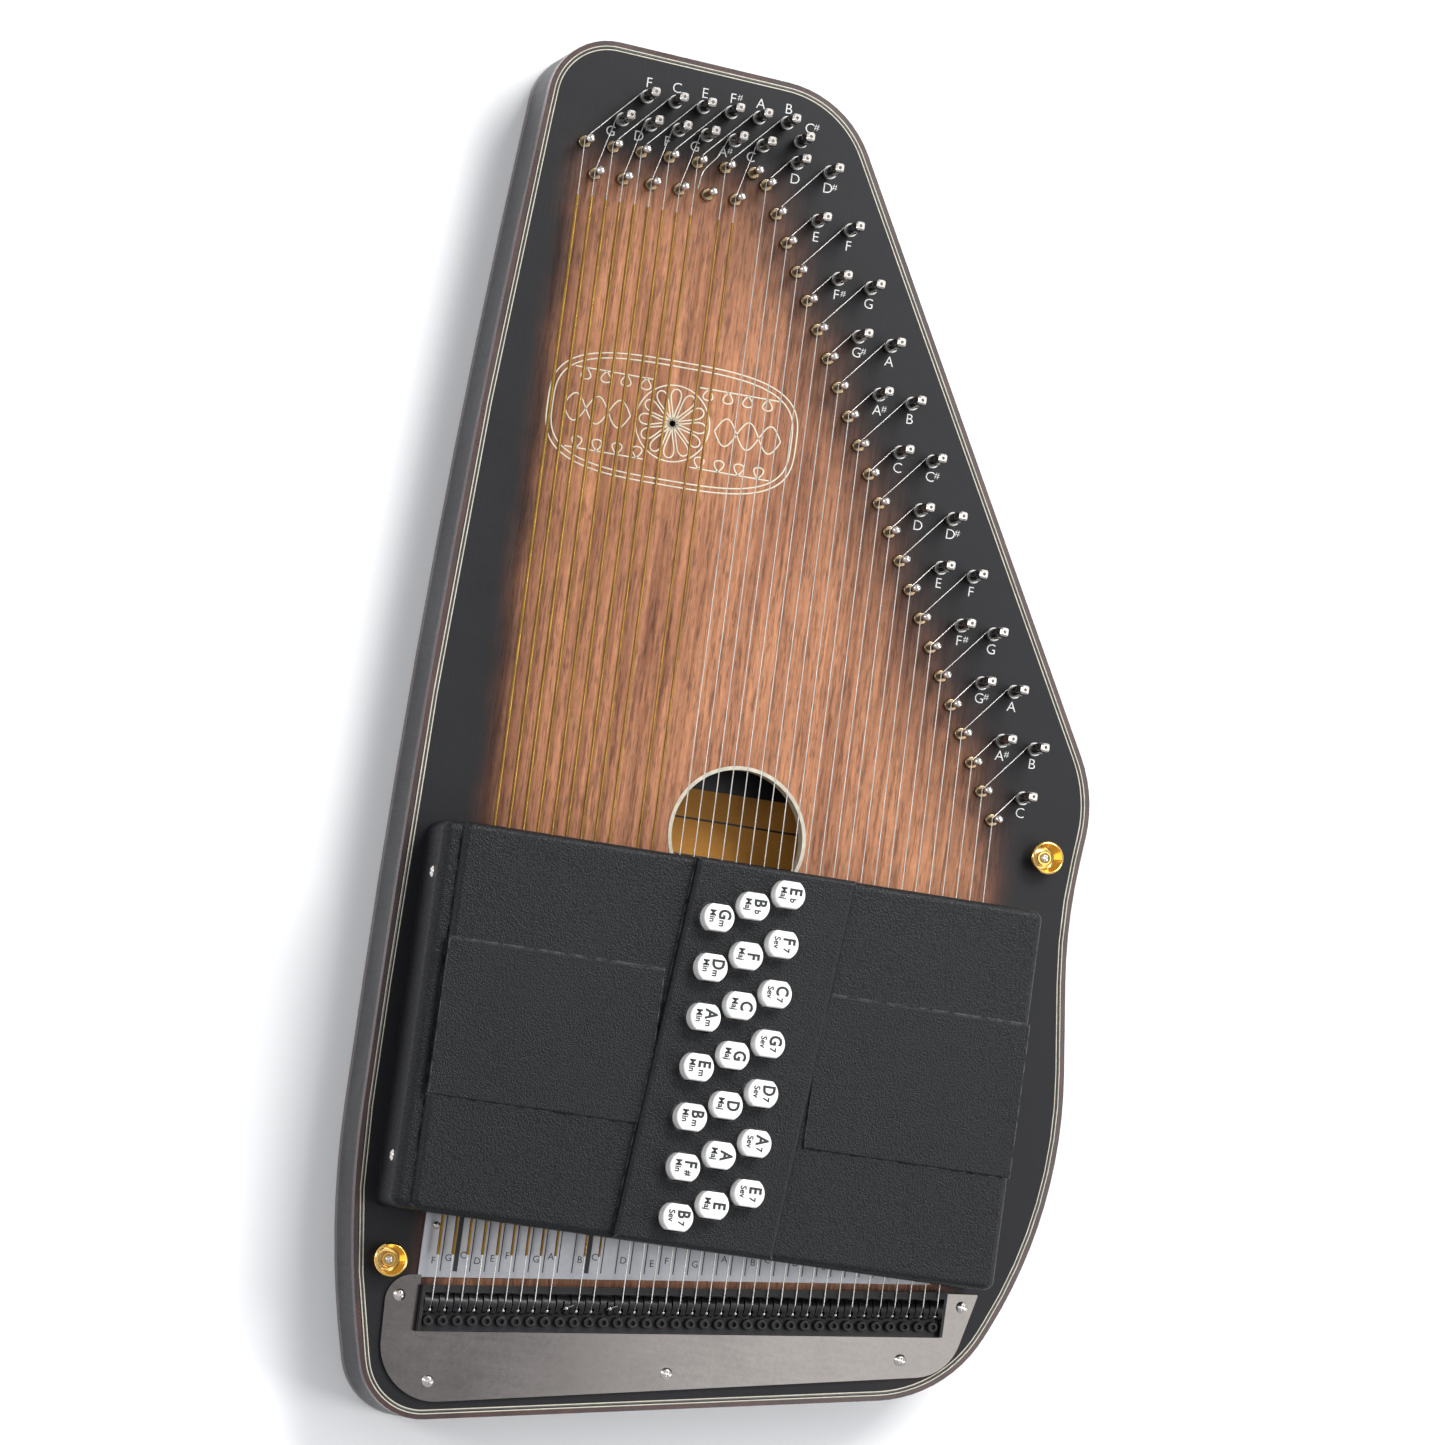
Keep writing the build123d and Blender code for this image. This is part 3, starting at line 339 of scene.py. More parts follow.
def brushed_group(name):
    """Fine parallel polishing lines along X, with a few deeper scratches."""
    outputs = [("Height", "Float"), ("Streaks", "Float")]
    wires, takes, gives = new_group(name, [("Spacing", "Float", 1.0)], outputs)
    inputs = {0: wires.stretched((7, 2600, 2600)), "Scale": takes["Spacing"]}
    spaced = wires.add("ShaderNodeVectorMath", inputs, operation="SCALE").outputs[0]
    fine = wires.noise(spaced, rough=0.7)
    broad = wires.grain((3, 160, 160))
    half = wires.maths("MULTIPLY", fine, 0.5)
    wires.feed(gives["Height"], fine)
    wires.feed(gives["Streaks"], wires.maths("MULTIPLY_ADD", broad, 0.5, half))


def worn_and_highlit_edges_group(name):
    """Mask of the outside edges, broken up as if rubbed; it lightens edges as wear, and on the cover as a
    painted edge highlight.
    """
    wires, takes, gives = new_group(name, [("Amount", "Float", 0.5)], [("Mask", "Float")])
    flat = wires.add("ShaderNodeNewGeometry").outputs["Normal"]
    rounded = wires.add("ShaderNodeBevel", {"Radius": 0.0009}, samples=4).outputs["Normal"]
    edge = wires.spread(wires.vector("DOT_PRODUCT", flat, rounded, output="Value"), 0.995, 0.86)
    breaks = wires.spread(wires.grain(220), 0.38, 0.62)
    broken = wires.maths("MULTIPLY", edge, breaks)
    wires.feed(gives["Mask"], wires.maths("MULTIPLY", broken, takes["Amount"]))


GROUP_MAKERS = {
    "Straight Grain": straight_grain_group,
    "Sunburst": sunburst_group,
    "Handling": handling_group,
    "Pebble Grain": pebble_group,
    "Brushed Lines": brushed_group,
    "Rubbed Edges": worn_and_highlit_edges_group,
}


def node_group(name):
    """A node group by name, built when it is first asked for."""
    if name not in bpy.data.node_groups:
        GROUP_MAKERS[name](name)
    return bpy.data.node_groups[name]


class Finish:
    """A material with one Principled shader, ready to be wired."""

    def __init__(self, name, **constants):
        self.material = bpy.data.materials.new(name)
        self.material.use_nodes = True
        self.wires = Wiring(self.material.node_tree)
        self.shader = self.material.node_tree.nodes["Principled BSDF"]
        for key, value in constants.items():
            self.shader.inputs[key.replace("_", " ")].default_value = value

    def group(self, name, **values):
        return self.wires.add("ShaderNodeGroup", values, node_tree=node_group(name)).outputs

    def marks(self):
        return self.group("Handling", Amount=1.0)["Mask"]

    # Edge mask: rubbed wear on most finishes, painted edge highlight on the cover.
    def rubbed(self, amount):
        return self.group("Rubbed Edges", Amount=amount)["Mask"]

    def colour(self, value):
        self.wires.feed(self.shader.inputs["Base Color"], value)

    def rough(self, field, *span):
        """Roughness from a field; a span says which part of the field gives which roughness."""
        value = self.wires.spread(field, *span) if span else field
        self.wires.feed(self.shader.inputs["Roughness"], value)

    def bump(self, height, distance, strength=1.0, **below):
        inputs = {"Height": height, "Distance": distance, "Strength": strength, **below}
        made = self.wires.add("ShaderNodeBump", inputs)
        self.wires.feed(self.shader.inputs["Normal"], made.outputs["Normal"])

    def height(self):
        """Height of a point above the face."""
        return self.wires.maths("SUBTRACT", self.wires.axis("Z"), FACE)


def paint(material, *names):
    """Gives CAD nodes a material."""
    for name in names:
        node = NODES[name]
        node.data.materials.clear()
        node.data.materials.append(material)


# ------------------------------------------------------------------ materials


def make_soundboard_finish():
    paints = colours()
    finish = Finish("Sunburst Lacquer", Coat_Weight=0.05, Coat_Roughness=0.25, IOR=1.3)
    wires = finish.wires
    tones = {"Light": rgba(paints.wood_light), "Dark": rgba(paints.wood_dark)}
    grain = finish.group("Straight Grain", Pores=0.42, **tones)
    mask = finish.group("Sunburst", Softness=0.025)["Mask"]
    stain = wires.mix(wires.spread(mask, 0.05, 0.95), (0.13, 0.070, 0.066, 1), (1, 1, 1, 1))
    wood = wires.mix(1.0, grain["Colour"], stain, "MULTIPLY")
    marks = finish.marks()
    black = wires.mix(marks, rgba(paints.burst), rgba(paints.burst, 1.35))
    finish.colour(wires.mix(wires.spread(mask, 0.05, 0.60, smooth=True), black, wood))
    finish.rough(marks, 0.0, 1.0, 0.38, 0.52)
    finish.bump(grain["Height"], 0.00004, 0.5)
    return finish.material


def make_side_finish(name, base):
    finish = Finish(name, Coat_Weight=0.12, Coat_Roughness=0.3, IOR=1.4)
    wires = finish.wires
    marks = finish.marks()
    tone = wires.mix(marks, rgba(base), rgba(base, 1.7))
    finish.colour(wires.mix(finish.rubbed(0.25), tone, (0.10, 0.085, 0.075, 1)))
    finish.rough(marks, 0.0, 1.0, 0.36, 0.52)
    finish.bump(wires.grain((60, 60, 14)), 0.00018, 0.35)
    return finish.material


def make_binding_finish():
    finish = Finish("Edge Binding", Coat_Weight=0.4, Coat_Roughness=0.18)
    wires = finish.wires
    base = colours().binding
    cloud = wires.grain((70, 26, 260), detail=4.0, twist=1.2)
    finish.colour(wires.mix(wires.spread(cloud, 0.35, 0.65), rgba(base, 0.7), rgba(base, 1.6)))
    finish.rough(finish.marks(), 0.0, 1.0, 0.25, 0.42)
    return finish.material


def make_flecked_finish(name, scale, tones, tone_span, rough_span, relief=None, noise=None, **constants):
    """Two tones mixed by one fine noise, which also gives the roughness and the relief."""
    finish = Finish(name, **constants)
    wires = finish.wires
    fleck = wires.grain(scale, **(noise or {}))
    finish.colour(wires.mix(wires.spread(fleck, *tone_span), *tones))
    finish.rough(fleck, 0.3, 0.7, *rough_span)
    if relief:
        finish.bump(fleck, *relief)
    return finish.material


def make_ivory_finish():
    base = colours().ivory
    return make_flecked_finish(
        "Ivory Inlay", 300, (rgba(base, 0.78), rgba(base)), (0.35, 0.7), (0.28, 0.4), (0.00003, 0.5),
        {"detail": 4.0, "twist": 0.7},
        Coat_Weight=0.3, Coat_Roughness=0.2, Subsurface_Weight=0.08, Subsurface_Scale=0.001,
    )


def make_black_line_finish():
    tones = (0.010, 0.009, 0.009, 1), (0.022, 0.020, 0.019, 1)
    return make_flecked_finish(
        "Black Inlay", 700, tones, (0.0, 1.0), (0.32, 0.46), noise={"detail": 2.0}, Coat_Weight=0.2
    )


def make_string_finish():
    """Drawn steel wire with faint marks along it."""
    base = colours().steel
    tones = rgba(base), rgba(base, 0.55)
    return make_flecked_finish(
        "Steel Wire", (3000, 90, 3000), tones, (0.45, 0.75, 0, 0.5), (0.2, 0.36), Metallic=1.0
    )


def make_button_finish():
    base = colours().button
    touched = [v * share for v, share in zip(base, (0.90, 0.885, 0.85))]
    return make_flecked_finish(
        "White Button", 240, (rgba(base), rgba(touched)), (0.42, 0.75, 0, 0.5), (0.26, 0.4), (0.00003, 0.3),
        {"detail": 4.0, "rough": 0.6},
        Coat_Weight=0.35, Coat_Roughness=0.15, Subsurface_Weight=0.05, Subsurface_Scale=0.001,
    )


def make_ink_finish(name, base):
    worn = [0.5 * v + 0.02 for v in base]
    noise = {"rough": 0.7}
    return make_flecked_finish(
        name, 1500, (rgba(base), rgba(worn)), (0.55, 0.8, 0, 0.45), (0.4, 0.6), noise=noise
    )


def make_metal_finish(name, base, rough, spread=0.12, grime=0.35):
    """Plated or bare metal with worn patches."""
    return make_flecked_finish(
        name, 380, (rgba(base), rgba(base, 0.45)), (0.4, 0.68, 0, grime), (rough, rough + spread),
        (0.00002, 0.25), {"detail": 4.0, "rough": 0.65, "twist": 0.6}, Metallic=1.0,
    )


def make_brushed_finish(name, base, rough):
    """Bare metal with fine polishing lines and a little grime."""
    spread, grime = 0.10, 0.10
    finish = Finish(name, Metallic=1.0)
    wires = finish.wires
    patches = wires.grain(380, detail=4.0, rough=0.65, twist=0.6)
    finish.colour(wires.mix(wires.spread(patches, 0.4, 0.68, 0, grime), rgba(base), rgba(base, 0.45)))
    lines = finish.group("Brushed Lines", Spacing=1.0)
    marks = wires.maths("MULTIPLY", finish.marks(), spread)
    shine = wires.maths("MULTIPLY_ADD", lines["Streaks"], spread, marks)
    finish.rough(wires.maths("ADD", shine, rough - spread / 2))
    finish.bump(lines["Height"], 0.00001, 0.35)
    return finish.material


def make_raw_wood_finish(name, base, dark_below=None):
    """Unlacquered wood along X; below a height it turns to dark felt."""
    finish = Finish(name)
    wires = finish.wires
    lines = wires.grain((9, 480, 480), detail=4.0, rough=0.6, twist=0.4)
    tone = wires.mix(wires.spread(lines, 0.3, 0.7), rgba(base, 0.62), rgba(base))
    rough = wires.spread(lines, 0.3, 0.7, 0.6, 0.78)
    relief = lines
    if dark_below is not None:
        wood = wires.spread(finish.height(), dark_below - 0.0001, dark_below + 0.0001)
        felt = wires.maths("SUBTRACT", 1.0, wood)
        fluff = wires.grain(1900, detail=4.0, rough=0.8)
        felt_tone = wires.mix(fluff, (0.010, 0.010, 0.011, 1), (0.055, 0.055, 0.060, 1))
        tone = wires.mix(wood, felt_tone, tone)
        rough = wires.maths("MAXIMUM", rough, felt)
        relief = wires.maths("MULTIPLY_ADD", fluff, wires.maths("MULTIPLY", felt, 3.0), lines)
    finish.colour(tone)
    finish.rough(rough)
    finish.bump(relief, 0.00006, 0.6)
    return finish.material


def make_guide_pin_finish():
    """Ball painted bright as lit and nickel shaft painted dark as shade, over a dull brass ring."""
    base = colours().nickel
    finish = Finish("Guide Pins", Metallic=1.0)
    wires = finish.wires
    up = finish.height()
    ring = wires.spread(up, 0.0026, 0.0019)
    ball = wires.spread(up, 0.0094, 0.0104)
    patches = wires.grain(420, detail=4.0, rough=0.65)
    # Same nickel at two shades: painted shade on the shaft, painted light on the ball.
    nickel = wires.mix(ball, rgba(base, 0.30), rgba(base))
    nickel = wires.mix(wires.spread(patches, 0.5, 0.75, 0, 0.4), nickel, rgba(base, 0.4))
    finish.colour(wires.mix(ring, nickel, (0.28, 0.205, 0.120, 1)))
    finish.rough(patches, 0.3, 0.7, 0.16, 0.30)
    finish.bump(patches, 0.00002, 0.2)
    return finish.material


def make_tuning_pin_finish():
    """Head painted bright as lit over a shaft painted dark as shade, both the same nickel."""
    base = colours().nickel
    finish = Finish("Tuning Pins", Metallic=1.0)
    wires = finish.wires
    head = wires.spread(finish.height(), 0.0152, 0.0172)
    patches = wires.grain((520, 520, 200), detail=4.0, rough=0.65)
    # Painted light on the head and painted shade on the shaft, one nickel at two shades.
    tone = wires.mix(head, rgba(base, 0.30), rgba(base, 0.95))
    finish.colour(wires.mix(wires.spread(patches, 0.48, 0.72, 0, 0.45), tone, (0.08, 0.065, 0.055, 1)))
    finish.rough(patches, 0.3, 0.7, 0.14, 0.30)
    finish.bump(patches, 0.00003, 0.3)
    return finish.material


def make_winding_finish():
    """Close turns of bronze wire round a core."""
    base = colours().bronze
    finish = Finish("Bronze Winding", Metallic=1.0)
    wires = finish.wires
    turns = wires.maths("SINE", wires.maths("MULTIPLY", wires.axis("Y"), 2 * math.pi / WINDING_TURN))
    height = wires.spread(turns, -1, 1)
    age = wires.grain((420, 55, 420), detail=4.0, rough=0.65)
    tone = wires.mix(wires.spread(age, 0.38, 0.68), rgba(base), rgba(base, 0.42))
    # Grooves between the turns darkened to 0.30 as painted shade.
    finish.colour(wires.mix(height, rgba(base, 0.30), tone))
    finish.rough(age, 0.3, 0.7, 0.26, 0.42)
    finish.bump(height, 0.0001, 0.8)
    return finish.material


def make_cover_finish():
    base = colours().cover
    finish = Finish("Pebbled Cover", IOR=1.3)
    wires = finish.wires
    pebbles = finish.group("Pebble Grain", Scale=1350.0)
    marks = finish.marks()
    # Grain tops lightened and creases darkened: painted light on the tops, painted shade in the creases.
    tone = wires.mix(pebbles["Crease"], rgba(base, 1.6), rgba(base, 0.35))
    tone = wires.mix(wires.maths("MULTIPLY", marks, 0.35), tone, rgba(base, 2.4))
    # Edges lightened to grey: painted edge highlight, broken up like rubbed wear.
    finish.colour(wires.mix(finish.rubbed(0.8), tone, (0.20, 0.205, 0.215, 1)))
    dull = wires.maths("MULTIPLY_ADD", marks, 0.08, 0.33)
    finish.rough(wires.maths("MULTIPLY_ADD", pebbles["Crease"], 0.22, dull))
    rounded = wires.add("ShaderNodeBevel", {"Radius": 0.0008}, samples=4).outputs["Normal"]
    finish.bump(pebbles["Height"], 0.00012, 1.0, Normal=rounded)
    return finish.material


def make_plain_black_finish(name, base, rough):
    finish = Finish(name, IOR=1.38)
    wires = finish.wires
    grit = wires.grain(650, detail=4.0, rough=0.7)
    tone = wires.mix(wires.spread(grit, 0.4, 0.7), rgba(base), rgba(base, 2.0))
    finish.colour(wires.mix(finish.rubbed(0.4), tone, (0.07, 0.07, 0.07, 1)))
    finish.rough(grit, 0.3, 0.7, rough, rough + 0.14)
    finish.bump(grit, 0.00004, 0.5)
    return finish.material


def make_paper_finish():
    base = colours().paper
    finish = Finish("Amber Paper")
    wires = finish.wires
    fibres = wires.grain(600, detail=5.0, rough=0.7)
    stains = wires.spread(wires.grain(45), 0.5, 0.75, 0, 0.5)
    tone = wires.mix(wires.spread(fibres, 0.3, 0.7), rgba(base, 0.82), rgba(base))
    finish.colour(wires.mix(stains, tone, rgba(base, 0.55)))
    finish.rough(fibres, 0.3, 0.7, 0.6, 0.85)
    finish.bump(fibres, 0.00003, 0.5)
    return finish.material


def material(name, maker, *values):
    """A material made once, by name."""
    return bpy.data.materials.get(name) or maker(*values)


def button_ink():
    return material("Button Ink", make_ink_finish, "Button Ink", colours().print_ink)


# ------------------------------------------------------------------ geometry helpers


def keep_piece(name, mesh, body):
    """Puts a mesh in the scene as a piece that rides on a body."""
    made = bpy.data.objects.new(name, mesh)
    bpy.context.scene.collection.objects.link(made)
    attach(made, body)
    return made


def mesh_object(name, points, faces, finish, body):
    mesh = bpy.data.meshes.new(name)
    mesh.from_pydata([tuple(p) for p in points], [], faces)
    mesh.validate()
    mesh.materials.append(finish)
    return keep_piece(name, mesh, body)


class Tree:
    """A Geometry Nodes tree with named inputs, a material and one geometry output."""

    def __init__(self, name, **sizes_in):
        self.tree = bpy.data.node_groups.new(name, "GeometryNodeTree")
        face = self.tree.interface
        face.new_socket("Geometry", in_out="INPUT", socket_type="NodeSocketGeometry")
        for label, kind in (*sizes_in.items(), ("Material", "Material")):
            face.new_socket(label, in_out="INPUT", socket_type="NodeSocket" + kind)
        face.new_socket("Geometry", in_out="OUTPUT", socket_type="NodeSocketGeometry")
        self.wires = Wiring(self.tree)
        self.takes = self.wires.add("NodeGroupInput").outputs
        self.end = self.wires.add("NodeGroupOutput").inputs

    def node(self, kind, output, inputs, **settings):
        return self.wires.add("GeometryNode" + kind, inputs, **settings).outputs[output]

    def swept(self, curve, section):
        inputs = {"Curve": curve, "Profile Curve": section, "Fill Caps": True}
        return self.node("CurveToMesh", "Mesh", inputs)

    def smooth(self, mesh):
        return self.node("SetShadeSmooth", "Geometry", {"Geometry": mesh})

    def on_points(self, instance, **scale):
        inputs = {"Points": self.takes["Geometry"], "Instance": instance, **scale}
        return self.node("InstanceOnPoints", "Instances", inputs)

    def close(self, geometry):
        real = self.node("RealizeInstances", "Geometry", {"Geometry": geometry})
        inputs = {"Geometry": real, "Material": self.takes["Material"]}
        self.wires.feed(self.end["Geometry"], self.node("SetMaterial", "Geometry", inputs))


def coil_tree(name):
    """A coil of round wire on every point."""
    made = Tree(name, Radius="Float", Wire="Float", Height="Float", Turns="Float", Steps="Int")
    takes = made.takes
    spiral = made.node("CurveSpiral", "Curve", {
        "Resolution": takes["Steps"], "Rotations": takes["Turns"], "Height": takes["Height"],
        "Start Radius": takes["Radius"], "End Radius": takes["Radius"],
    })
    half = made.wires.maths("MULTIPLY", takes["Wire"], 0.5)
    ring = made.node("CurvePrimitiveCircle", "Curve", {"Resolution": 7, "Radius": half})
    made.close(made.on_points(made.smooth(made.swept(spiral, ring))))


def inlay_tree(name):
    """A strip of rectangular section along every line."""
    made = Tree(name, Width="Float", Depth="Float")
    inputs = {"Width": made.takes["Width"], "Height": made.takes["Depth"]}
    section = made.node("CurvePrimitiveQuadrilateral", "Curve", inputs)
    made.close(made.swept(made.takes["Geometry"], section))


def rod_tree(name):
    """A round rod along every line."""
    made = Tree(name, Radius="Float", Sides="Int")
    inputs = {"Resolution": made.takes["Sides"], "Radius": made.takes["Radius"]}
    ring = made.node("CurvePrimitiveCircle", "Curve", inputs)
    made.close(made.smooth(made.swept(made.takes["Geometry"], ring)))


def rule_tree(name):
    """A thin printed bar on every point, as wide and long as that point says."""
    made = Tree(name)
    bar = made.node("MeshCube", "Mesh", {"Size": (1, 1, 1)})
    size = made.node("InputNamedAttribute", "Attribute", {"Name": "size"}, data_type="FLOAT_VECTOR")
    made.close(made.on_points(bar, Scale=size))


GROUP_MAKERS.update({
    "Wire Coil": coil_tree,
    "Inlay Strip": inlay_tree,
    "Round Rod": rod_tree,
    "Printed Rules": rule_tree,
})


def grow(name, base, tree_name, values, body="instrument"):
    """Runs a tree over a base object and keeps the result as a plain mesh piece."""
    bpy.context.scene.collection.objects.link(base)
    modifier = base.modifiers.new("Grow", "NODES")
    modifier.node_group = node_group(tree_name)
    for item in modifier.node_group.interface.items_tree:
        if item.item_type == "SOCKET" and item.in_out == "INPUT" and item.name in values:
            modifier[item.identifier] = values[item.name]
    bpy.context.view_layer.update()
    graph = bpy.context.evaluated_depsgraph_get()
    mesh = bpy.data.meshes.new_from_object(base.evaluated_get(graph), depsgraph=graph)
    if not mesh.polygons:
        raise RuntimeError(name + " has no faces")
    bpy.data.objects.remove(base)
    mesh.name = name
    return keep_piece(name, mesh, body)


def points_object(name, points, scales=None):
    """Loose points, each with its own size if given, for a tree to build on."""
    mesh = bpy.data.meshes.new(name)
    mesh.from_pydata([tuple(p) for p in points], [], [])
    if scales:
        layer = mesh.attributes.new("size", "FLOAT_VECTOR", "POINT")
        layer.data.foreach_set("vector", [v for scale in scales for v in scale])
    return bpy.data.objects.new(name, mesh)


def print_rules(name, rules):
    """One piece of printed bars: (place, size) for each."""
    places, scales = zip(*rules)
    grow(name, points_object(name, places, scales), "Printed Rules", {"Material": button_ink()})


def line_object(name, runs, closed=False):
    """Straight-sided curves through rows of points."""
    curve = bpy.data.curves.new(name, "CURVE")
    curve.dimensions = "3D"
    for run in runs:
        spline = curve.splines.new("POLY")
        spline.points.add(len(run) - 1)
        for point, place in zip(spline.points, run):
            point.co = (*place, 1)
        spline.use_cyclic_u = closed
    return bpy.data.objects.new(name, curve)


def flat_text(text, height, weight):
    """Letters as a flat mesh, upright along Y and centred on the origin."""
    curve = bpy.data.curves.new("Letters", "FONT")
    curve.body = text
    curve.size = height / CAPITAL_SHARE
    curve.align_x = curve.align_y = "CENTER"
    curve.resolution_u = 3
    curve.offset = weight
    holder = bpy.data.objects.new("Letters", curve)
    bpy.context.scene.collection.objects.link(holder)
    bpy.context.view_layer.update()
    mesh = bpy.data.meshes.new_from_object(holder)
    bpy.data.objects.remove(holder)
    points = [v.co.copy() for v in mesh.vertices]
    faces = [tuple(p.vertices) for p in mesh.polygons]
    bpy.data.meshes.remove(mesh)
    return points, faces


def print_letters(name, words, finish, rise, body="instrument"):
    """One piece of thin letters: (text, height, weight, matrix) for each word."""
    corners, plates = [], []
    for text, height, weight, place in words:
        points, faces = flat_text(text, height, weight)
        start = len(corners)
        count = len(points)
        for z in (rise, 0):
            corners += [place @ Vector((p.x, p.y, z)) for p in points]
        edges = {}
        for face in faces:
            ring = [start + v for v in face]
            plates.append(ring)
            plates.append([v + count for v in reversed(ring)])
            for a, b in zip(ring, ring[1:] + ring[:1]):
                edges[(a, b)] = True
        for a, b in edges:
            if (b, a) not in edges:
                plates.append([b, a, a + count, b + count])
    return mesh_object(name, corners, plates, finish, body)


def outline_points(inset):
    """Points round the body's outline, moved inwards, in metres."""
    last = on_face(35 * 6.35, -(4.3 + 11.7 * 22))
    along = Vector((6.35, -11.7)).normalized()
    foot = last + ROW_OUT * 49.0 * MM + along * 6.6 * MM
    right = guide_pin(BASS) + ROW_OUT * 49.0 * MM
    head_y = FIRST_PIN.y + 46.9 * MM
    right = right + along * ((head_y - 5.9 * MM - right.y) / along.y)
    low, high = tuner(0), tuner(STRINGS - 1)
    corners = [
        (low + Vector((-18.6, -45.6)) * MM, 27),
        (high + Vector((12.0, -29.3)) * MM, 60),
        (high + Vector((53.2, 57.6)) * MM, 205),
        (last + Vector((40.5, -38.8)) * MM, 240),
        (foot, 60),
        (right, 48),
        (Vector((FIRST_PIN.x - 16.3 * MM, head_y)), 27),
        (on_face(-35.3, -181.4), 4900),
        (low + Vector((-39.8, 33.2)) * MM, 400),
    ]
    ring = []
    for index, (corner, radius) in enumerate(corners):
        radius = radius * MM
        before = (corners[index - 1][0] - corner).normalized()
        after = (corners[(index + 1) % len(corners)][0] - corner).normalized()
        opening = math.acos(max(-1.0, min(1.0, before.dot(after))))
        reach = radius / math.tan(opening / 2)
        start, end = corner + before * reach, corner + after * reach
        normal = Vector((before.y, -before.x))
        middle = start + normal * radius * (1 if normal.dot(after) > 0 else -1)
        first = math.atan2(start.y - middle.y, start.x - middle.x)
        last_angle = math.atan2(end.y - middle.y, end.x - middle.x)
        sweep = (last_angle - first + math.pi) % (2 * math.pi) - math.pi
        inner = radius - inset * (1 if sweep > 0 else -1)
        steps = max(3, int(abs(sweep) / OUTLINE_STEP))
        for step in range(steps + 1):
            angle = first + sweep * step / steps
            ring.append(middle + Vector((math.cos(angle), math.sin(angle))) * inner)
    return ring


# ------------------------------------------------------------------ pieces


class ZITHER_OT_body(bpy.types.Operator):
    """Lacquers the soundboard, sides, back and binding"""

    bl_idname = "zither.body"
    bl_label = "Lacquer the Body"

    def execute(self, context):
        paints = colours()
        paint(make_soundboard_finish(), "soundboard")
        paint(make_side_finish("Side Lacquer", paints.sides), "body_frame")
        paint(make_side_finish("Back Lacquer", paints.sides), "back_panel")
        paint(make_binding_finish(), "edge_binding")
        paint(make_ivory_finish(), "soundhole_ring")
        paint(make_raw_wood_finish("Raw Brace", paints.raw_wood), "internal_braces")
        return {"FINISHED"}


class ZITHER_OT_purfling(bpy.types.Operator):
    """Lays the ivory, black and ivory lines inside the binding"""

    bl_idname = "zither.purfling"
    bl_label = "Lay the Purfling"

    def execute(self, context):
        settings = sizes()
        ivory = material("Ivory Inlay", make_ivory_finish)
        black = material("Black Inlay", make_black_line_finish)
        depth = 0.0006
        inset = 0.0021                  # width of the binding
        for name, width, finish in (
            ("purfling_outer", settings.ivory_line, ivory),
            ("purfling_black", settings.black_line, black),
            ("purfling_inner", settings.ivory_line, ivory),
        ):
            z = FACE + settings.line_rise - depth / 2
            ring = [(p.x, p.y, z) for p in outline_points(inset + width / 2)]
            base = line_object(name, [ring], closed=True)
            values = {"Width": width, "Depth": depth, "Material": finish}
            grow(name, base, "Inlay Strip", values)
            inset += width
        return {"FINISHED"}


class ZITHER_OT_metalwork(bpy.types.Operator):
    """Plates the pins, screws, plates and strap buttons"""

    bl_idname = "zither.metalwork"
    bl_label = "Plate the Metalwork"

    def execute(self, context):
        paints = colours()
        paint(make_guide_pin_finish(), "guide_pins")
        paint(make_tuning_pin_finish(), "tuning_pins")
        paint(make_string_finish(), "strings")
        paint(make_metal_finish("Screw Nickel", paints.nickel, 0.18), "screws")
        paint(make_brushed_finish("Tail Steel", paints.plate, 0.13), "tailpiece_plate")
        paint(make_brushed_finish("Note Aluminium", paints.note_plate, 0.34), "note_plate")
        paint(make_metal_finish("Strap Gold", paints.gold, 0.10, 0.06, grime=0.08), "strap_buttons")
        black = make_plain_black_finish("Tuner Black", (0.0055, 0.0055, 0.0060), 0.30)
        paint(black, "fine_tuner_housing", "fine_tuners")
        return {"FINISHED"}


class ZITHER_OT_windings(bpy.types.Operator):
    """Winds the bass strings in bronze"""

    bl_idname = "zither.windings"
    bl_label = "Wind the Bass Strings"

    def execute(self, context):
        finish = make_winding_finish()
        for number in WOUND:
            index = number - 1
            share = index / (BASS - 1)
            radius = (THICK_WINDING * (1 - share) + THIN_WINDING * share + WINDING_CLEAR) * MM
            pin, tail = guide_pin(index), tuner(index)
            low = Vector((tail.x, tail.y + 8.8 * MM, STRING_Z))
            high = Vector((pin.x - 1.6 * MM, pin.y + 0.5 * MM, STRING_Z))
            along = (high - low).normalized()
            first = low + along * TAIL_BARE
            last = high - along * (HEAD_BARE - (BASS_ROW_GAP if index % 2 else 0.0))
            end = along * 0.4 * MM
            name = "winding_%02d" % number
            base = line_object(name, [[first, first + end, last - end, last]])
            values = {"Radius": radius, "Sides": 16, "Material": finish}
            grow(name, base, "Round Rod", values)
        return {"FINISHED"}


class ZITHER_OT_pin_coils(bpy.types.Operator):
    """Wraps the string ends round the tuning pins"""

    bl_idname = "zither.pin_coils"
    bl_label = "Wrap the Tuning Pins"

    def execute(self, context):
        wire = sizes().pin_wire
        places = []
        for index in range(STRINGS):
            pin = tuning_pin(index)
            places.append((pin.x, pin.y, FACE + COIL_FOOT + wire * 0.4))
        base = points_object("pin_coils", places)
        values = {
            "Radius": COIL_RADIUS,
            "Wire": wire,
            "Height": COIL_LENGTH - wire * 0.8,
            "Turns": 3.5,
            "Steps": 22,
            "Material": material("Steel Wire", make_string_finish),
        }
        grow("pin_coils", base, "Wire Coil", values)
        return {"FINISHED"}


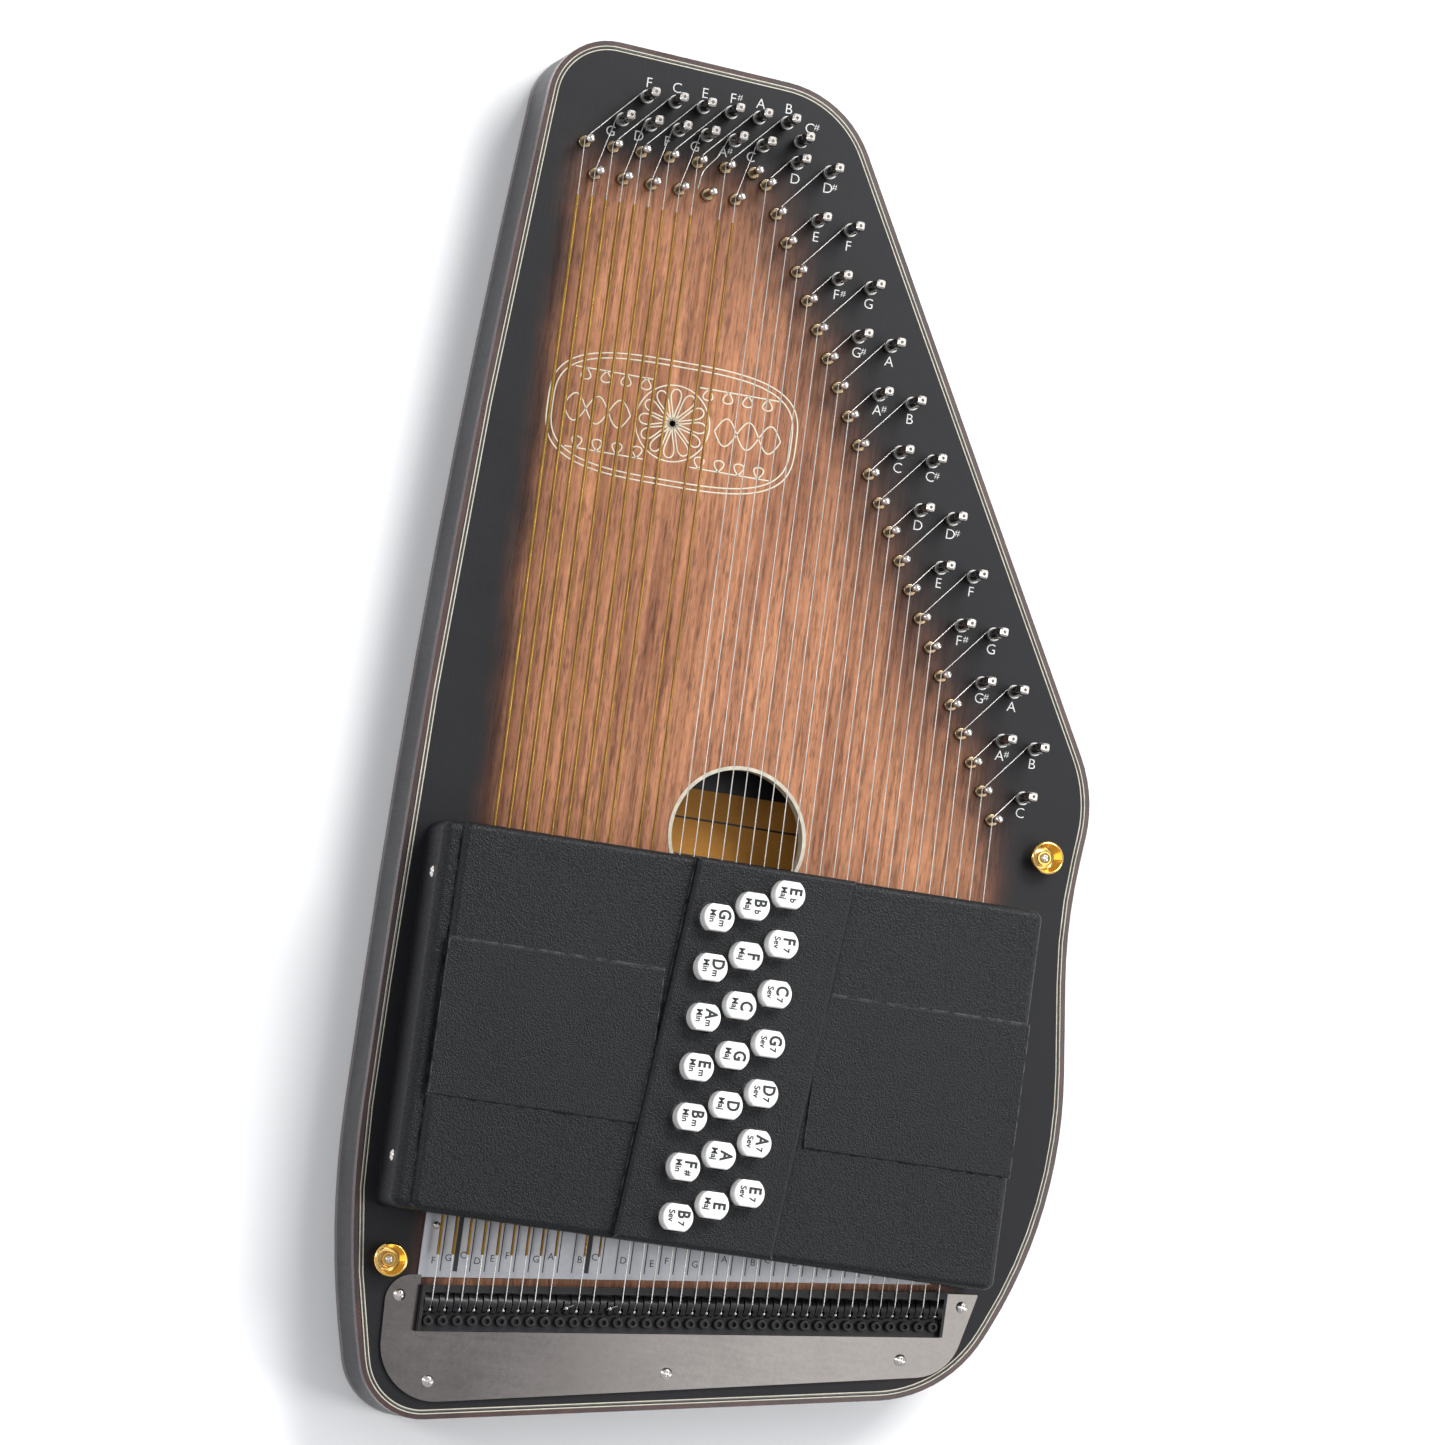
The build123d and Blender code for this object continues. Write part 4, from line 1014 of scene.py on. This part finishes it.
class ZITHER_OT_bar_springs(bpy.types.Operator):
    """Coils the two springs under each chord bar"""

    bl_idname = "zither.bar_springs"
    bl_label = "Coil the Bar Springs"

    def execute(self, context):
        settings = sizes()
        finish = make_metal_finish("Spring Steel", (0.55, 0.54, 0.52), 0.25)
        low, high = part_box("bar_springs")
        wire = settings.spring_wire
        for chord in CHORDS:
            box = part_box("chord_bar_" + chord)
            y = (box[0].y + box[1].y) / 2
            places = [(x, y, low.z + wire / 2) for x in (low.x + SPRING_INSET, high.x - SPRING_INSET)]
            base = points_object("springs_" + chord, places)
            values = {
                "Radius": settings.spring_radius,
                "Wire": wire,
                "Height": high.z - low.z - wire,
                "Turns": 6.0,
                "Steps": 14,
                "Material": finish,
            }
            piece = grow("springs_" + chord, base, "Wire Coil", values)
            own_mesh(piece)
            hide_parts("bar_springs")
        return {"FINISHED"}


class ZITHER_OT_cover(bpy.types.Operator):
    """Grains the cover and its bar holders"""

    bl_idname = "zither.cover"
    bl_label = "Grain the Cover"

    def execute(self, context):
        paint(make_cover_finish(), "chord_bar_cover")
        paint(make_plain_black_finish("Holder Black", (0.014, 0.014, 0.015), 0.4), "bar_holders")
        return {"FINISHED"}


def chord_words(chord):
    """Big letter, small suffix and small word for a button."""
    parts = chord.split("_")
    kind, suffix = {"major": ("Maj", ""), "minor": ("Min", "m"), "seventh": ("Sev", "7")}[parts[-1]]
    suffix = {"flat": "b", "sharp": "#"}.get(parts[1], suffix)
    return parts[0].upper(), suffix, kind


class ZITHER_OT_bars(bpy.types.Operator):
    """Finishes the chord bars and prints their buttons"""

    bl_idname = "zither.bars"
    bl_label = "Finish Bars and Buttons"

    def execute(self, context):
        settings = sizes()
        bar = make_raw_wood_finish("Chord Bar", colours().raw_wood, FELT_TOP)
        white = make_button_finish()
        turn = Matrix.Rotation(-math.pi / 2, 4, "Z")
        narrow = turn @ Matrix.Diagonal((0.82, 1, 1, 1))
        sink = 0.02 * MM
        size = settings.letter
        for chord in CHORDS:
            paint(bar, "chord_bar_" + chord)
            paint(white, "button_" + chord)
            low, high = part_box("button_" + chord)
            big, suffix, kind = chord_words(chord)
            words = [(big, 1.0, 0.046, 2.0 * MM, size * 0.28 if suffix else 0.0, narrow)]
            if suffix:
                words.append((suffix, 0.50, 0.026, 1.3 * MM, -size * 0.44, turn))
            words.append((kind, 0.50, 0.020, -3.2 * MM, 0.4 * MM, turn))
            centre = Vector(((low.x + high.x) / 2, (low.y + high.y) / 2, high.z - sink))
            placed = [
                (text, size * tall, size * weight, Matrix.Translation(centre + Vector((x, y, 0))) @ facing)
                for text, tall, weight, x, y, facing in words
            ]
            rise = settings.print_rise + sink
            print_letters("letters_" + chord, placed, button_ink(), rise, "bar_" + chord)
        return {"FINISHED"}


class ZITHER_OT_note_names(bpy.types.Operator):
    """Prints the note names on the face and on the note plate"""

    bl_idname = "zither.note_names"
    bl_label = "Print the Note Names"

    def execute(self, context):
        settings = sizes()
        silver = make_ink_finish("Silver Print", colours().print_silver)
        words = []
        for index, name in enumerate(STRING_NAMES):
            pin = tuning_pin(index)
            if index == BASS - 1:
                step = Vector((4.6, 7.3))
            elif index < BASS:
                step = Vector((-3.2, -4.9)) if index % 2 else Vector((1.4, 7.1))
            else:
                step = Vector((1.5, -6.2))
            place = Vector((*(pin + step * MM), FACE))
            words.append((name[0], settings.note_letter, -0.00006, Matrix.Translation(place)))
            if name.endswith("#"):
                place = place + Vector((3.1 * MM, 1.2 * MM, 0))
                words.append(("#", settings.note_letter * 0.62, -0.00004, Matrix.Translation(place)))
        print_letters("note_names", words, silver, settings.print_rise)

        plate_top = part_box("note_plate")[1].z
        words, rules = [], []
        for index, name in enumerate(STRING_NAMES):
            low = tuner(index) + Vector((0, 18.4 * MM))
            drop = 7.0 + (index % 3) * 1.2
            if not name.endswith("#"):
                place = Vector((low.x - 0.4 * MM, low.y + drop * MM, plate_top))
                words.append((name, 0.0030, 0.0, Matrix.Translation(place)))
            if index < STRINGS - 2:
                wide = 2.0 if index + 1 in (2, 11) else 0.45
                y = tuner(index).y + PITCH / 2 * TAIL_SLOPE + 34.0 * MM
                place = (low.x + PITCH / 2, y, plate_top + 0.00001)
                rules.append((place, (wide * MM, 26.0 * MM, 0.00006)))
        print_letters("plate_letters", words, button_ink(), settings.print_rise)
        print_rules("plate_rules", rules)
        return {"FINISHED"}


class ZITHER_OT_ornament(bpy.types.Operator):
    """Prints a plain scroll ornament on the soundboard"""

    bl_idname = "zither.ornament"
    bl_label = "Print the Ornament"

    def execute(self, context):
        ivory = make_ink_finish("Cream Print", (0.66, 0.62, 0.48))
        middle = on_face(56.0, -114.0)
        lines = []

        def trace(shape, low, high, count):
            steps = [low + (high - low) * k / count for k in range(count + 1)]
            places = [shape(t) for t in steps]
            z = FACE + 0.00004
            lines.append([(middle.x + x * MM, middle.y + y * MM, z) for x, y in places])

        def rounded(a, b, t):
            c, d = math.cos(t), math.sin(t)
            return a * math.copysign(abs(c) ** 0.62, c), b * math.copysign(abs(d) ** 0.62, d)

        def wave(side, phase, t):
            return side * t, 6.0 * math.sin((t - 19.0) * math.pi / 10.0 + phase)

        def bud(x, up, t):
            return x + 2.2 * math.sin(2 * t), up * (17.5 - 5.0 * math.sin(t))

        for a, b in ((56.0, 27.0), (53.8, 24.8)):
            trace(lambda t: rounded(a, b, t), 0, 2 * math.pi, 160)
        for side in (-1, 1):
            for phase in (0, math.pi):
                trace(lambda t: wave(side, phase, t), 19.0, 49.0, 60)
            for y in (17.5, -17.5):
                trace(lambda t: (side * t, y), 10.0, 46.0, 2)
            for up in (-1, 1):
                for x in (14.0, 23.0, 32.0, 41.0):
                    trace(lambda t: bud(side * x, up, t), 0, math.pi, 20)
        for petal in range(12):
            turn = petal * math.pi / 6

            def leaf(t):
                reach = 15.0 * math.sin(t)
                bend = turn + 0.20 * math.sin(2 * t)
                return reach * math.cos(bend), reach * math.sin(bend)

            trace(leaf, 0, math.pi, 22)
        trace(lambda t: (16.6 * math.cos(t), 16.6 * math.sin(t)), 0, 2 * math.pi, 64)
        base = line_object("ornament", lines)
        values = {"Width": 0.62 * MM, "Depth": 0.0001, "Material": ivory}
        grow("ornament", base, "Inlay Strip", values)
        return {"FINISHED"}


class ZITHER_OT_paper_label(bpy.types.Operator):
    """Glues a blank ruled paper label inside the body"""

    bl_idname = "zither.paper_label"
    bl_label = "Glue the Paper Label"

    def execute(self, context):
        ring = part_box("soundhole_ring")
        centre = (ring[0] + ring[1]) / 2 + Vector((0.010, 0, 0))
        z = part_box("back_panel")[1].z
        wide, tall, thick, steps = 0.086, 0.066, 0.00025, 22
        points, faces = [], []
        for level in (thick, 0.0):
            for row in range(steps + 1):
                for column in range(steps + 1):
                    u, v = column / steps - 0.5, row / steps - 0.5
                    ripple = 0.0002 * (math.sin(9 * u + 2) * math.sin(7 * v + 1) + 1) * (level > 0)
                    height = z + 0.00002 + level + ripple
                    points.append((centre.x + u * wide, centre.y - 0.012 + v * tall, height))
        side = (steps + 1) ** 2
        for row in range(steps):
            for column in range(steps):
                a = row * (steps + 1) + column
                quad = [a, a + 1, a + steps + 2, a + steps + 1]
                faces.append(quad)
                faces.append([side + v for v in reversed(quad)])
        rim = list(range(steps))
        rim += [k * (steps + 1) + steps for k in range(steps)]
        rim += [side - 1 - k for k in range(steps)]
        rim += [(steps - k) * (steps + 1) for k in range(steps)]
        for a, b in zip(rim, rim[1:] + rim[:1]):
            faces.append([a, a + side, b + side, b])
        mesh_object("paper_label", points, faces, make_paper_finish(), "instrument")
        rules = []
        for y, tall_rule in ((14.0, 0.8), (-2.0, 0.5), (-9.0, 1.6), (-16.0, 0.5), (-22.0, 0.5)):
            place = (centre.x, centre.y - 0.006 + y * MM, z + 0.00068)
            rules.append((place, (0.074, tall_rule * MM, 0.0001)))
        print_rules("label_rules", rules)
        return {"FINISHED"}


class ZITHER_OT_stage(bpy.types.Operator):
    """Sets the pale floor, soft lights and the camera"""

    bl_idname = "zither.stage"
    bl_label = "Set the Studio"

    def execute(self, context):
        scene = context.scene
        finish = Finish("Pale Floor", Roughness=0.9)
        finish.colour(rgba(colours().floor))
        mesh = bpy.data.meshes.new("floor")
        reach, below = 9.0, -0.0005
        corners = [(x * reach, y * reach, below) for x, y in ((-1, -1), (1, -1), (1, 1), (-1, 1))]
        mesh.from_pydata(corners, [], [(0, 1, 2, 3)])
        mesh.materials.append(finish.material)
        floor = bpy.data.objects.new("floor", mesh)
        scene.collection.objects.link(floor)

        world = bpy.data.worlds.new("Studio")
        scene.world = world
        world.use_nodes = True
        sky = world.node_tree.nodes["Background"]
        sky.inputs["Color"].default_value = (0.93, 0.95, 1.0, 1.0)
        sky.inputs["Strength"].default_value = 0.62

        for name, place, target, width, tall, power in (
            ("Head Softbox", (0.9, 1.5, 1.9), (0, 0.05, 0), 1.2, 0.9, 62.0),
            ("Right Softbox", (1.9, -0.5, 1.3), (0, -0.05, 0), 0.7, 1.4, 22.0),
            ("Left Softbox", (-2.1, 0.2, 1.1), (0, -0.1, 0), 0.5, 1.8, 14.0),
            ("Overhead Softbox", (0.93, 0.1, 2.2), (0.93, 0.1, 0), 0.78, 1.3, 6.5),
        ):
            lamp = bpy.data.lights.new(name, "AREA")
            lamp.shape = "RECTANGLE"
            lamp.size = width
            lamp.size_y = tall
            lamp.energy = power
            holder = bpy.data.objects.new(name, lamp)
            holder.location = place
            holder.rotation_euler = (Vector(target) - Vector(place)).to_track_quat("-Z", "Y").to_euler()
            scene.collection.objects.link(holder)

        lens = bpy.data.cameras.new("Camera")
        lens.lens = 165.6
        lens.sensor_width = 36.0
        lens.clip_start = 0.1
        lens.clip_end = 40.0
        camera = bpy.data.objects.new("Camera", lens)
        across = Vector((0.95326, 0.13582, 0.26992))
        up = Vector((-0.15584, 0.98630, 0.05406))
        back = across.cross(up)
        turn = Matrix((across, up, back)).transposed().to_4x4()
        camera.matrix_world = Matrix.Translation((-0.7635, -0.2536, 2.7932)) @ turn
        scene.collection.objects.link(camera)
        scene.camera = camera
        scene.view_settings.view_transform = "Standard"
        return {"FINISHED"}


class ZITHER_PT_panel(bpy.types.Panel):
    """Lists the colours, the sizes and the operators"""

    bl_label = "Chorded Zither"
    bl_idname = "ZITHER_PT_panel"
    bl_space_type = "VIEW_3D"
    bl_region_type = "UI"
    bl_category = "Zither"

    def draw(self, context):
        layout = self.layout
        for group in (context.scene.zither_colours, context.scene.zither_sizes):
            for name in group.__annotations__:
                layout.prop(group, name)
        for operator in OPERATORS:
            layout.operator(operator.bl_idname)


OPERATORS = (
    ZITHER_OT_body,
    ZITHER_OT_purfling,
    ZITHER_OT_metalwork,
    ZITHER_OT_windings,
    ZITHER_OT_pin_coils,
    ZITHER_OT_bar_springs,
    ZITHER_OT_cover,
    ZITHER_OT_bars,
    ZITHER_OT_note_names,
    ZITHER_OT_ornament,
    ZITHER_OT_paper_label,
    ZITHER_OT_stage,
)
CLASSES = (ZitherColours, ZitherSizes, *OPERATORS, ZITHER_PT_panel)


def register():
    for one in CLASSES:
        bpy.utils.register_class(one)
    bpy.types.Scene.zither_colours = bpy.props.PointerProperty(type=ZitherColours)
    bpy.types.Scene.zither_sizes = bpy.props.PointerProperty(type=ZitherSizes)


def unregister():
    del bpy.types.Scene.zither_colours
    del bpy.types.Scene.zither_sizes
    for one in reversed(CLASSES):
        bpy.utils.unregister_class(one)


def main():
    register()
    for operator in OPERATORS:
        family, name = operator.bl_idname.split(".")
        getattr(getattr(bpy.ops, family), name)()


if __name__ == "__main__":
    main()
